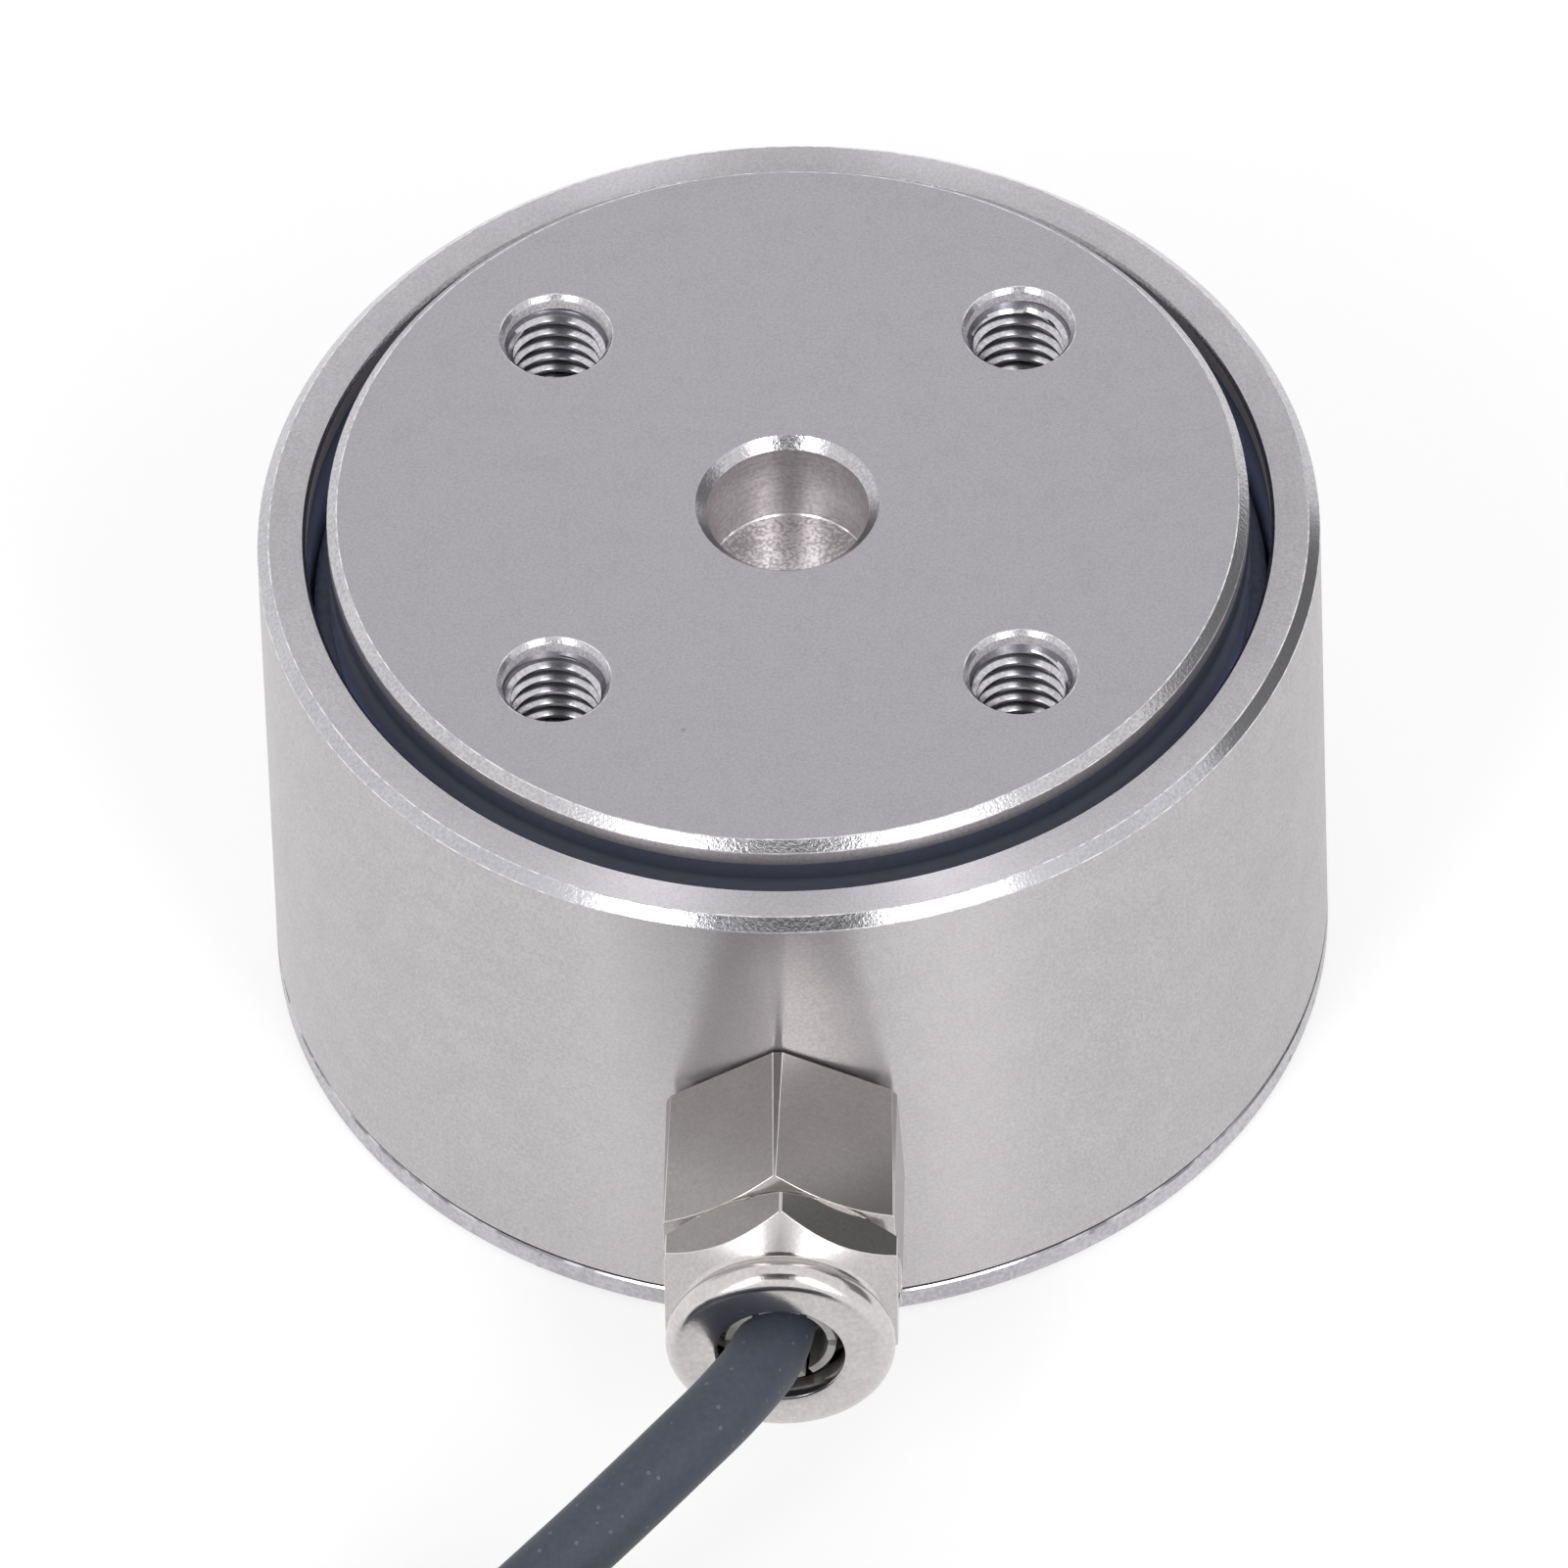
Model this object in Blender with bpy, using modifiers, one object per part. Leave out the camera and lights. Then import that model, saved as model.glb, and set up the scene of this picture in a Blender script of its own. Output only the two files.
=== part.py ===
"""Column load cell: a drum-shaped compression sensor with a side cable gland.

Metres, +Z up. The origin is the drum's axis at the base plane. The load goes in at the
head on top and out at the base. The gland points along -Y.
"""

import math

import bmesh
import bpy
from mathutils import Vector

# Running and seating clearances.
SEAT_GAP = 0.0003
SEAM_GAP = 0.0002
CUT_OVER = 0.0010

# Drum: base lip, sleeve and loading head.
BODY_DIAMETER = 0.0600
LIP_HEIGHT = 0.00165
LIP_EDGE = 0.0003
SLEEVE_WALL = 0.00275
SLEEVE_TOP = 0.0335
SLEEVE_EDGE = 0.0006
SLEEVE_INNER_EDGE = 0.0002
HEAD_GAP = 0.00123
HEAD_PROUD = 0.0021
HEAD_THICKNESS = 0.0110
HEAD_EDGE = 0.00055
HEAD_UNDER_EDGE = 0.0006
REGISTER_HEIGHT = 0.0060
REGISTER_EDGE = 0.0004

# Gauged column between the base and the head.
COLUMN_DIAMETER = 0.0200
COLUMN_FILLET = 0.0030
FLAT_DISTANCE = 0.0080

# Tapped and pilot holes. The pattern is turned a little against the gland.
PATTERN_TURN = math.radians(1.1)
TAP_SPACING = 0.0262
TAP_BORE = 0.0050
TAP_MOUTH = 0.0065
TAP_DEPTH = 0.0085
BASE_TAP_DEPTH = 0.0045
DRILL_TIP_ANGLE = math.radians(59.0)
PILOT_BORE = 0.0092
PILOT_MOUTH = 0.0104
PILOT_DEPTH = 0.0060

# Rubber seals in the head's and the register's grooves.
GAP_SEAL_DEPTH = 0.0050
GAP_SEAL_HEIGHT = 0.0022
GAP_SEAL_GROOVE = 0.0014
BASE_SEAL_THICKNESS = 0.0016
BASE_SEAL_HEIGHT = 0.0032
BASE_SEAL_SIDES = 8

# Cable gland: body, nut and what is in it.
GLAND_Z = 0.01570
GLAND_SHANK_REACH = 0.00095
GLAND_SHANK_DIAMETER = 0.0091
GLAND_PORT_DIAMETER = 0.0097
GLAND_BORE = 0.0052
GLAND_BODY_FLATS = 0.0130
GLAND_BODY_LENGTH = 0.0099
GLAND_BODY_TURN = math.radians(2.2)
GLAND_CHAMFER = math.radians(30.0)
GLAND_FACE_DIAMETER = 0.0129
GLAND_SPIGOT_DIAMETER = 0.0100
GLAND_SPIGOT_LENGTH = 0.0028
GLAND_SOCKET_DIAMETER = 0.0080
GLAND_SOCKET_DEPTH = 0.0063
PORT_RING_THICKNESS = 0.0010
PORT_RING_BORE = 0.0095
NUT_FLATS = 0.01304
NUT_TURN = math.radians(-0.9)
NUT_REAR_FACE = 0.0135
NUT_HEX_END = 0.00186
NUT_NECK_DIAMETER = 0.0114
NUT_NECK_START = 0.00355
NUT_LENGTH = 0.00605
NUT_BEAD_DIAMETER = 0.0129
NUT_BEAD_RADIUS = 0.0010
NUT_MOUTH = 0.0072
NUT_MOUTH_EDGE = 0.0002
NUT_THREAD_DEPTH = 0.0030
CLAW_WALL = 0.00035
CLAW_FINGERS = 6
CLAW_SLOT = 0.0008
CLAW_ROOT = 0.0009
CLAW_LENGTH = 0.0037
SEAL_LENGTH = 0.0045

# Measuring circuit inside the drum.
GAUGE_WIDTH = 0.0060
GAUGE_HEIGHT = 0.0068
GAUGE_THICKNESS = 0.0003
BOARD_RIM_GAP = 0.00325
BOARD_COLUMN_GAP = 0.0033
BOARD_THICKNESS = 0.0012
SPACER_DIAMETER = 0.0032
SPACER_HEIGHT = 0.0014
SPACER_COUNT = 4
RESISTOR_SIZE = (0.0040, 0.0020, 0.0012)
RESISTOR_ANGLES = (20.0, 70.0, 110.0, 160.0)
RIBBON_WIDTH = 0.0020
RIBBON_THICKNESS = 0.0003
CONDUCTOR_DIAMETER = 0.0009
CONDUCTOR_LENGTH = 0.0020
CONDUCTOR_SPREAD = 0.0014
CONDUCTOR_PADS = (-0.0075, -0.0025, 0.0025, 0.0075)
CONDUCTOR_FAN_START = 0.45
CONDUCTOR_FAN_END = 0.90
CONDUCTOR_DROP_LENGTHS = 2.5
CONDUCTOR_NAMES = ("red", "black", "green", "white")

# Cable: a route through the gland to the floor, a coil, and an end with bare leads.
# The route's points are (sideways, out from the drum's wall, up).
CABLE_DIAMETER = 0.0043
CABLE_INSIDE = 0.0048
CABLE_ROUTE = (
    (0.0, 0.0, 0.0157),
    (0.0, 0.0060, 0.0157),
    (0.0, 0.0115, 0.0157),
    (-0.00018, 0.0140, 0.01566),
    (-0.00084, 0.0165, 0.01577),
    (-0.00256, 0.0197, 0.01599),
    (-0.00564, 0.0231, 0.01519),
    (-0.01234, 0.0285, 0.01179),
    (-0.02057, 0.0334, 0.00660),
)
CABLE_STEP = 0.0024
COIL_SIDE = -0.0172
COIL_OUT = 0.0694
COIL_MEAN_DIAMETER = 0.0504
COIL_COLUMNS = 4
COIL_LAYERS = 3
COIL_PITCH = 0.0044
TIE_WIDTH = 0.0040
TIE_THICKNESS = 0.0006
TIE_LIFT = 0.0001
TIE_ANGLE = math.radians(-20.0)
TIE_HEAD_SIZE = (0.0030, 0.0054, 0.0046)
TAIL_START = math.radians(120.0)
TAIL_END = math.radians(165.0)
END_SLEEVE_WALL = 0.0004
END_SLEEVE_LENGTH = 0.0120
END_SLEEVE_OVERLAP = 0.0060
LEAD_DIAMETER = 0.0012
LEAD_LENGTH = 0.0320
LEAD_SPREAD = 0.0016
LEAD_FAN = 0.0030
LEAD_STRAIGHT_SHARE = 0.25
LEAD_STEP = 0.0030

# Facets round a turned piece.
BODY_STEPS = 64
RING_STEPS = 48
GLAND_STEPS = 36
PILOT_STEPS = 32
SMALL_STEPS = 24
TAP_STEPS = 20
SPACER_STEPS = 16

# Sizes that follow from the ones above.
BODY_RADIUS = BODY_DIAMETER / 2
SLEEVE_INNER = BODY_RADIUS - SLEEVE_WALL
HEAD_RADIUS = SLEEVE_INNER - HEAD_GAP
HEAD_TOP = SLEEVE_TOP + HEAD_PROUD
HEAD_BOTTOM = HEAD_TOP - HEAD_THICKNESS
REGISTER_TOP = LIP_HEIGHT + REGISTER_HEIGHT
COLUMN_MIDDLE = (HEAD_BOTTOM + REGISTER_TOP) / 2
FLAT_HEIGHT = HEAD_BOTTOM - REGISTER_TOP - 2 * COLUMN_FILLET
GLAND_SEAT = BODY_RADIUS + SEAM_GAP
GLAND_SHANK_START = SLEEVE_INNER - GLAND_SHANK_REACH
GLAND_FRONT = GLAND_SEAT + GLAND_BODY_LENGTH
NUT_REAR = GLAND_FRONT + SEAM_GAP
BOARD_OUTER = SLEEVE_INNER - BOARD_RIM_GAP
BOARD_INNER = COLUMN_DIAMETER / 2 + BOARD_COLUMN_GAP
BOARD_MIDDLE = (BOARD_OUTER + BOARD_INNER) / 2
BOARD_BOTTOM = REGISTER_TOP + 2 * SEAT_GAP + SPACER_HEIGHT
BOARD_TOP = BOARD_BOTTOM + BOARD_THICKNESS
CABLE_START = BODY_RADIUS - CABLE_INSIDE
COIL_CENTRE = (COIL_SIDE, -BODY_RADIUS - COIL_OUT)
COIL_LIFT = TIE_THICKNESS + SEAT_GAP + TIE_LIFT
COIL_HEIGHT = COIL_LAYERS * COIL_PITCH
COIL_TOP = COIL_LIFT + COIL_HEIGHT
COIL_WIDTH = COIL_COLUMNS * COIL_PITCH
END_SLEEVE_RADIUS = CABLE_DIAMETER / 2 + SEAT_GAP + END_SLEEVE_WALL
TAIL_Z = COIL_TOP + SEAT_GAP + END_SLEEVE_RADIUS

MATERIALS = {
    "steel": ((0.56, 0.55, 0.56), 0.35, 1.0),
    "turned_steel": ((0.55, 0.53, 0.52), 0.30, 1.0),
    "nickel": ((0.60, 0.58, 0.55), 0.25, 1.0),
    "black_rubber": ((0.02, 0.02, 0.025), 0.70, 0.0),
    "nylon": ((0.62, 0.60, 0.54), 0.45, 0.0),
    "gauge_film": ((0.75, 0.45, 0.12), 0.40, 0.0),
    "board_green": ((0.03, 0.20, 0.09), 0.45, 0.0),
    "resistor_blue": ((0.05, 0.12, 0.30), 0.40, 0.0),
    "cable_jacket": ((0.045, 0.055, 0.075), 0.55, 0.0),
    "tie_black": ((0.02, 0.02, 0.02), 0.50, 0.0),
    "wire_red": ((0.55, 0.03, 0.03), 0.40, 0.0),
    "wire_black": ((0.02, 0.02, 0.02), 0.40, 0.0),
    "wire_green": ((0.03, 0.30, 0.08), 0.40, 0.0),
    "wire_white": ((0.80, 0.80, 0.78), 0.40, 0.0),
}


class Bench:
    """Holds the two collections and the materials that the pieces are made from."""

    def __init__(self):
        for old in list(bpy.data.objects):
            bpy.data.objects.remove(old, do_unlink=True)
        self.parts = bpy.data.collections.new("column_load_cell")
        self.cutters = bpy.data.collections.new("cutters")
        for collection in (self.parts, self.cutters):
            bpy.context.scene.collection.children.link(collection)
        self.materials = {name: self.material(name, *look) for name, look in MATERIALS.items()}

    @staticmethod
    def material(name, colour, roughness, metallic):
        made = bpy.data.materials.new(name)
        made.use_nodes = True
        shader = made.node_tree.nodes["Principled BSDF"]
        shader.inputs["Base Color"].default_value = (*colour, 1.0)
        shader.inputs["Roughness"].default_value = roughness
        shader.inputs["Metallic"].default_value = metallic
        return made

    def part(self, name, data, material):
        """Adds a piece of the load cell."""
        made = bpy.data.objects.new(name, data)
        self.parts.objects.link(made)
        made.data.materials.append(self.materials[material])
        return made

    def cutter(self, name, data):
        """Adds a solid that only cuts others."""
        made = bpy.data.objects.new(name, data)
        self.cutters.objects.link(made)
        made.hide_render = True
        made.display_type = "WIRE"
        return made


def arc(centre, radius, start, end, count):
    """Points on a circle from angle start to angle end, in degrees, both ends included."""
    steps = [math.radians(start + (end - start) * i / (count - 1)) for i in range(count)]
    return [(centre[0] + radius * math.cos(a), centre[1] + radius * math.sin(a)) for a in steps]


def profile_mesh(name, points, closed):
    """A line of (radius, height) points in the XZ plane, for a Screw modifier."""
    mesh = bpy.data.meshes.new(name)
    edges = [(i, i + 1) for i in range(len(points) - 1)]
    if closed:
        edges.append((len(points) - 1, 0))
    mesh.from_pydata([(r, 0.0, z) for r, z in points], edges, [])
    return mesh


def turn(piece, steps):
    """Revolves a profile about the piece's own Z axis."""
    screw = piece.modifiers.new("turned", "SCREW")
    screw.axis = "Z"
    screw.steps = steps
    screw.render_steps = steps
    screw.use_merge_vertices = True
    screw.merge_threshold = 0.00001
    screw.use_smooth_shade = True
    return piece


def block_mesh(name, size):
    """A box centred on its own origin."""
    mesh = bpy.data.meshes.new(name)
    shape = bmesh.new()
    bmesh.ops.create_cube(shape, size=1.0)
    bmesh.ops.scale(shape, vec=size, verts=shape.verts)
    shape.to_mesh(mesh)
    shape.free()
    return mesh


def prism_mesh(name, radius, height, sides):
    """An upright prism or cylinder centred on its own origin."""
    mesh = bpy.data.meshes.new(name)
    shape = bmesh.new()
    bmesh.ops.create_cone(
        shape, cap_ends=True, segments=sides, radius1=radius, radius2=radius, depth=height
    )
    shape.to_mesh(mesh)
    shape.free()
    return mesh


def combine(piece, other, operation="DIFFERENCE"):
    """Cuts, joins or intersects a piece with another solid."""
    step = piece.modifiers.new(other.name, "BOOLEAN")
    step.object = other
    step.operation = operation
    step.solver = "EXACT"


def soften(piece, width, segments=2):
    """Rounds a piece's edges."""
    bevel = piece.modifiers.new("edges", "BEVEL")
    bevel.width = width
    bevel.segments = segments


def smooth_line(points, step):
    """Evenly spaced points on one smooth curve through the given points."""
    knots = [Vector(p) for p in points]
    spans = [(b - a).length for a, b in zip(knots, knots[1:])]
    slopes = [(b - a) / s for a, b, s in zip(knots, knots[1:], spans)]
    tangents = [slopes[0]]
    for before, after, left, right in zip(slopes, slopes[1:], spans, spans[1:]):
        tangents.append((before * right + after * left) / (left + right))
    tangents.append(slopes[-1])
    line = []
    for i, span in enumerate(spans):
        count = max(1, round(span / step))
        for k in range(count):
            t = k / count
            line.append(
                knots[i] * (2 * t**3 - 3 * t**2 + 1)
                + tangents[i] * span * (t**3 - 2 * t**2 + t)
                + knots[i + 1] * (3 * t**2 - 2 * t**3)
                + tangents[i + 1] * span * (t**3 - t**2)
            )
    return line + [knots[-1]]


def tube(bench, name, line, diameter, material, resolution=2):
    """A round wire or cable along a line of points."""
    curve = bpy.data.curves.new(name, "CURVE")
    curve.dimensions = "3D"
    curve.bevel_depth = diameter / 2
    curve.bevel_resolution = resolution
    curve.use_fill_caps = True
    spline = curve.splines.new("POLY")
    spline.points.add(len(line) - 1)
    for point, place in zip(spline.points, line):
        point.co = (*place, 1.0)
    return bench.part(name, curve, material)


def at_gland(piece):
    """Lays a piece that was turned upright along the gland's axis, its top outwards."""
    piece.location = (0.0, 0.0, GLAND_Z)
    piece.rotation_euler = (math.pi / 2, 0.0, 0.0)
    return piece


def pattern_places():
    """The four hole places, turned by the pattern's angle."""
    half = TAP_SPACING / 2
    turned = []
    for x, y in ((half, half), (-half, half), (-half, -half), (half, -half)):
        turned.append(
            (
                x * math.cos(PATTERN_TURN) - y * math.sin(PATTERN_TURN),
                x * math.sin(PATTERN_TURN) + y * math.cos(PATTERN_TURN),
            )
        )
    return turned


def hole_cutter(bench, name, bore, mouth, depth, tip, steps):
    """A turned cutter that hangs down from its own origin, with a 45 degree mouth."""
    points = [(0.0, CUT_OVER), (mouth / 2 + CUT_OVER, CUT_OVER), (bore / 2, (bore - mouth) / 2)]
    points.append((bore / 2, -depth))
    points.append((0.0, -depth - (bore / 2 / math.tan(DRILL_TIP_ANGLE) if tip else 0.0)))
    return turn(bench.cutter(name, profile_mesh(name, points, False)), steps)


def make_load_column(bench):
    """One turned piece: base lip, register, gauged column and loading head."""
    lip = BODY_RADIUS
    register = SLEEVE_INNER - SEAT_GAP
    head = HEAD_RADIUS
    column = COLUMN_DIAMETER / 2
    flare = column + COLUMN_FILLET
    root = head - GAP_SEAL_GROOVE - SEAT_GAP
    seal_top = SLEEVE_TOP - GAP_SEAL_DEPTH + SEAT_GAP
    seal_bottom = seal_top - GAP_SEAL_HEIGHT - 2 * SEAT_GAP
    groove = BASE_SEAL_THICKNESS / 2 + SEAT_GAP
    groove_root = register + SEAT_GAP - BASE_SEAL_THICKNESS - 1.5 * SEAT_GAP
    points = [(0.0, HEAD_TOP), (head - HEAD_EDGE, HEAD_TOP), (head, HEAD_TOP - HEAD_EDGE)]
    points += [(head, seal_top), (root, seal_top), (root, seal_bottom), (head, seal_bottom)]
    points += [(head, HEAD_BOTTOM + HEAD_UNDER_EDGE), (head - HEAD_UNDER_EDGE, HEAD_BOTTOM)]
    points += arc((flare, HEAD_BOTTOM - COLUMN_FILLET), COLUMN_FILLET, 90, 180, 5)
    points += arc((flare, REGISTER_TOP + COLUMN_FILLET), COLUMN_FILLET, 180, 270, 5)
    points += [(register - REGISTER_EDGE, REGISTER_TOP), (register, REGISTER_TOP - REGISTER_EDGE)]
    points += [(register, LIP_HEIGHT + BASE_SEAL_HEIGHT + groove)]
    points += [(groove_root, LIP_HEIGHT + BASE_SEAL_HEIGHT + groove)]
    points += [(groove_root, LIP_HEIGHT + BASE_SEAL_HEIGHT - groove)]
    points += [(register, LIP_HEIGHT + BASE_SEAL_HEIGHT - groove)]
    points += [(register, LIP_HEIGHT), (lip, LIP_HEIGHT), (lip, LIP_EDGE), (lip - LIP_EDGE, 0.0)]
    points += [(0.0, 0.0)]
    piece = bench.part("load_column", profile_mesh("load_column", points, False), "steel")
    turn(piece, BODY_STEPS)

    sizes = (PILOT_BORE, PILOT_MOUTH, PILOT_DEPTH)
    pilot = hole_cutter(bench, "pilot_cut", *sizes, False, PILOT_STEPS)
    pilot.location = (0.0, 0.0, HEAD_TOP)
    combine(piece, pilot)
    for number, (x, y) in enumerate(pattern_places(), 1):
        for side, z, tilt, depth in (
            ("head", HEAD_TOP, 0.0, TAP_DEPTH),
            ("base", 0.0, math.pi, BASE_TAP_DEPTH),
        ):
            name = f"{side}_tap_cut_{number}"
            tap = hole_cutter(bench, name, TAP_BORE, TAP_MOUTH, depth, True, TAP_STEPS)
            tap.location = (x, y, z)
            tap.rotation_euler = (tilt, 0.0, 0.0)
            combine(piece, tap)
    for number in range(4):
        size = (COLUMN_DIAMETER, COLUMN_DIAMETER, FLAT_HEIGHT)
        flat = bench.cutter(f"flat_cut_{number + 1}", block_mesh("flat_cut", size))
        angle = number * math.pi / 2
        reach = FLAT_DISTANCE + COLUMN_DIAMETER / 2
        flat.location = (reach * math.cos(angle), reach * math.sin(angle), COLUMN_MIDDLE)
        flat.rotation_euler = (0.0, 0.0, angle)
        combine(piece, flat)
    return piece


def make_sleeve(bench):
    """The drum's outer wall, with a stepped port for the gland."""
    outer = BODY_RADIUS
    inner = SLEEVE_INNER
    bottom = LIP_HEIGHT + SEAM_GAP
    points = [(inner, bottom), (inner, SLEEVE_TOP - SLEEVE_INNER_EDGE)]
    points += [(inner + SLEEVE_INNER_EDGE, SLEEVE_TOP), (outer - SLEEVE_EDGE, SLEEVE_TOP)]
    points += [(outer, SLEEVE_TOP - SLEEVE_EDGE), (outer, bottom)]
    piece = bench.part("housing_sleeve", profile_mesh("housing_sleeve", points, True), "turned_steel")
    turn(piece, BODY_STEPS)

    ring_seat = PORT_RING_BORE / 2 + PORT_RING_THICKNESS + SEAT_GAP
    port_points = [(0.0, GLAND_SEAT + CUT_OVER), (ring_seat, GLAND_SEAT + CUT_OVER)]
    port_points += [(ring_seat, outer - PORT_RING_THICKNESS - SEAT_GAP)]
    port_points += [(GLAND_PORT_DIAMETER / 2, outer - PORT_RING_THICKNESS - SEAT_GAP)]
    port_points += [(GLAND_PORT_DIAMETER / 2, inner - 2 * CUT_OVER), (0.0, inner - 2 * CUT_OVER)]
    port = bench.cutter("port_cut", profile_mesh("port_cut", port_points, False))
    at_gland(turn(port, GLAND_STEPS))
    combine(piece, port)
    return piece


def make_seals(bench):
    """The rubber ring in the gap under the head, and the ring between base and sleeve."""
    bore = SLEEVE_INNER - SEAT_GAP
    root = HEAD_RADIUS - GAP_SEAL_GROOVE
    top = SLEEVE_TOP - GAP_SEAL_DEPTH
    bottom = top - GAP_SEAL_HEIGHT
    lip = GAP_SEAL_HEIGHT / 4
    points = [(root, bottom), (root, top), (bore - lip, top), (bore, top - lip)]
    points += [(bore, bottom + lip), (bore - lip, bottom)]
    turn(bench.part("gap_seal", profile_mesh("gap_seal", points, True), "black_rubber"), BODY_STEPS)

    radius = BASE_SEAL_THICKNESS / 2
    centre = (SLEEVE_INNER - SEAT_GAP / 2 - radius, LIP_HEIGHT + BASE_SEAL_HEIGHT)
    ring = arc(centre, radius, 315, 0, BASE_SEAL_SIDES)
    seal = bench.part("base_seal", profile_mesh("base_seal", ring, True), "black_rubber")
    turn(seal, RING_STEPS)


def hexagon(bench, name, flats, turned):
    """A long six-sided cutter on the gland's axis, one corner up."""
    corner = flats / 2 / math.cos(math.pi / 6)
    made = bench.cutter(name, prism_mesh(name, corner, 4 * GLAND_FRONT, 6))
    at_gland(made)
    made.rotation_euler = (math.pi / 2, -turned, 0.0)
    return made


def make_gland_body(bench):
    """Threaded shank, hexagon and spigot, with a socket for the seal."""
    corner = GLAND_BODY_FLATS / 2 / math.cos(math.pi / 6) + SEAT_GAP
    face = GLAND_FACE_DIAMETER / 2
    slope = (corner - face) * math.tan(GLAND_CHAMFER)
    shank = GLAND_SHANK_DIAMETER / 2
    spigot = GLAND_SPIGOT_DIAMETER / 2
    spigot_end = GLAND_FRONT + GLAND_SPIGOT_LENGTH
    socket = GLAND_SOCKET_DIAMETER / 2
    bore = GLAND_BORE / 2
    edge = SEAT_GAP
    points = [(bore, GLAND_SHANK_START), (bore, spigot_end - GLAND_SOCKET_DEPTH)]
    points += [(socket, spigot_end - GLAND_SOCKET_DEPTH), (socket, spigot_end)]
    points += [(spigot - edge, spigot_end), (spigot, spigot_end - edge), (spigot, GLAND_FRONT)]
    points += [(face, GLAND_FRONT), (corner, GLAND_FRONT - slope), (corner, GLAND_SEAT)]
    points += [(shank, GLAND_SEAT), (shank, GLAND_SHANK_START + edge)]
    points += [(shank - edge, GLAND_SHANK_START)]
    piece = bench.part("gland_body", profile_mesh("gland_body", points, True), "nickel")
    at_gland(turn(piece, GLAND_STEPS))
    combine(piece, hexagon(bench, "body_hexagon", GLAND_BODY_FLATS, GLAND_BODY_TURN), "INTERSECT")
    return piece


def make_gland_nut(bench):
    """Narrow hexagon, necked front and a rounded bead round the cable's mouth."""
    corner = NUT_FLATS / 2 / math.cos(math.pi / 6)
    rear = NUT_REAR_FACE / 2
    slope = (corner - rear) * math.tan(GLAND_CHAMFER)
    neck = NUT_NECK_DIAMETER / 2
    mouth = NUT_MOUTH / 2
    thread = GLAND_SPIGOT_DIAMETER / 2 + SEAT_GAP
    front = NUT_REAR + NUT_LENGTH
    bead = NUT_BEAD_DIAMETER / 2 - NUT_BEAD_RADIUS
    inner_end = NUT_REAR + NUT_THREAD_DEPTH
    points = [(thread, NUT_REAR), (thread, inner_end), (mouth, inner_end + thread - mouth)]
    points += [(mouth, front - NUT_MOUTH_EDGE), (mouth + NUT_MOUTH_EDGE, front)]
    points += arc((bead, front - NUT_BEAD_RADIUS), NUT_BEAD_RADIUS, 90, -40, 7)
    points += [(neck, NUT_REAR + NUT_NECK_START + SEAT_GAP), (neck, NUT_REAR + NUT_NECK_START)]
    points += [(corner, NUT_REAR + NUT_HEX_END), (corner, NUT_REAR + slope), (rear, NUT_REAR)]
    piece = bench.part("gland_nut", profile_mesh("gland_nut", points, True), "nickel")
    at_gland(turn(piece, GLAND_STEPS))
    combine(piece, hexagon(bench, "nut_hexagon", NUT_FLATS, NUT_TURN), "INTERSECT")
    return piece


def ring_points(inner, outer, low, high, edge):
    """The closed section of a turned ring with small edges outside."""
    points = [(inner, low), (inner, high), (outer - edge, high), (outer, high - edge)]
    return points + [(outer, low + edge), (outer - edge, low)]


def make_gland_inside(bench):
    """Port ring, rubber seal and the clamping claw with its fingers."""
    edge = SEAT_GAP / 2
    ring_bore = PORT_RING_BORE / 2
    ring_end = GLAND_SEAT - SEAM_GAP
    points = ring_points(
        ring_bore, ring_bore + PORT_RING_THICKNESS, ring_end - PORT_RING_THICKNESS, ring_end, edge
    )
    ring = bench.part("port_ring", profile_mesh("port_ring", points, True), "black_rubber")
    at_gland(turn(ring, SMALL_STEPS))

    socket = GLAND_SOCKET_DIAMETER / 2 - SEAT_GAP
    start = GLAND_FRONT + GLAND_SPIGOT_LENGTH - GLAND_SOCKET_DEPTH + SEAT_GAP
    hole = CABLE_DIAMETER / 2 + SEAT_GAP
    points = ring_points(hole, socket, start, start + SEAL_LENGTH, edge)
    seal = bench.part("gland_seal", profile_mesh("gland_seal", points, True), "black_rubber")
    at_gland(turn(seal, SMALL_STEPS))

    root = start + SEAL_LENGTH + SEAT_GAP
    outside = NUT_MOUTH / 2 - SEAT_GAP
    inside = outside - CLAW_WALL
    points = [(hole, root), (hole, root + CLAW_ROOT / 2), (inside, root + CLAW_ROOT)]
    points += [(inside, root + CLAW_LENGTH), (outside, root + CLAW_LENGTH)]
    points += [(outside, root + CLAW_ROOT), (socket, root + CLAW_ROOT), (socket, root)]
    claw = bench.part("clamp_claw", profile_mesh("clamp_claw", points, True), "nylon")
    at_gland(turn(claw, SMALL_STEPS))
    for number in range(CLAW_FINGERS // 2):
        length = CLAW_LENGTH - CLAW_ROOT
        size = (3 * NUT_MOUTH, CLAW_SLOT, length)
        slot = bench.cutter(f"claw_slot_{number + 1}", block_mesh("claw_slot", size))
        middle = root + CLAW_ROOT + SEAT_GAP + length / 2
        slot.location = (0.0, -middle, GLAND_Z)
        slot.rotation_euler = (math.pi / 2, math.pi * number / (CLAW_FINGERS // 2), 0.0)
        combine(claw, slot)


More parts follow.
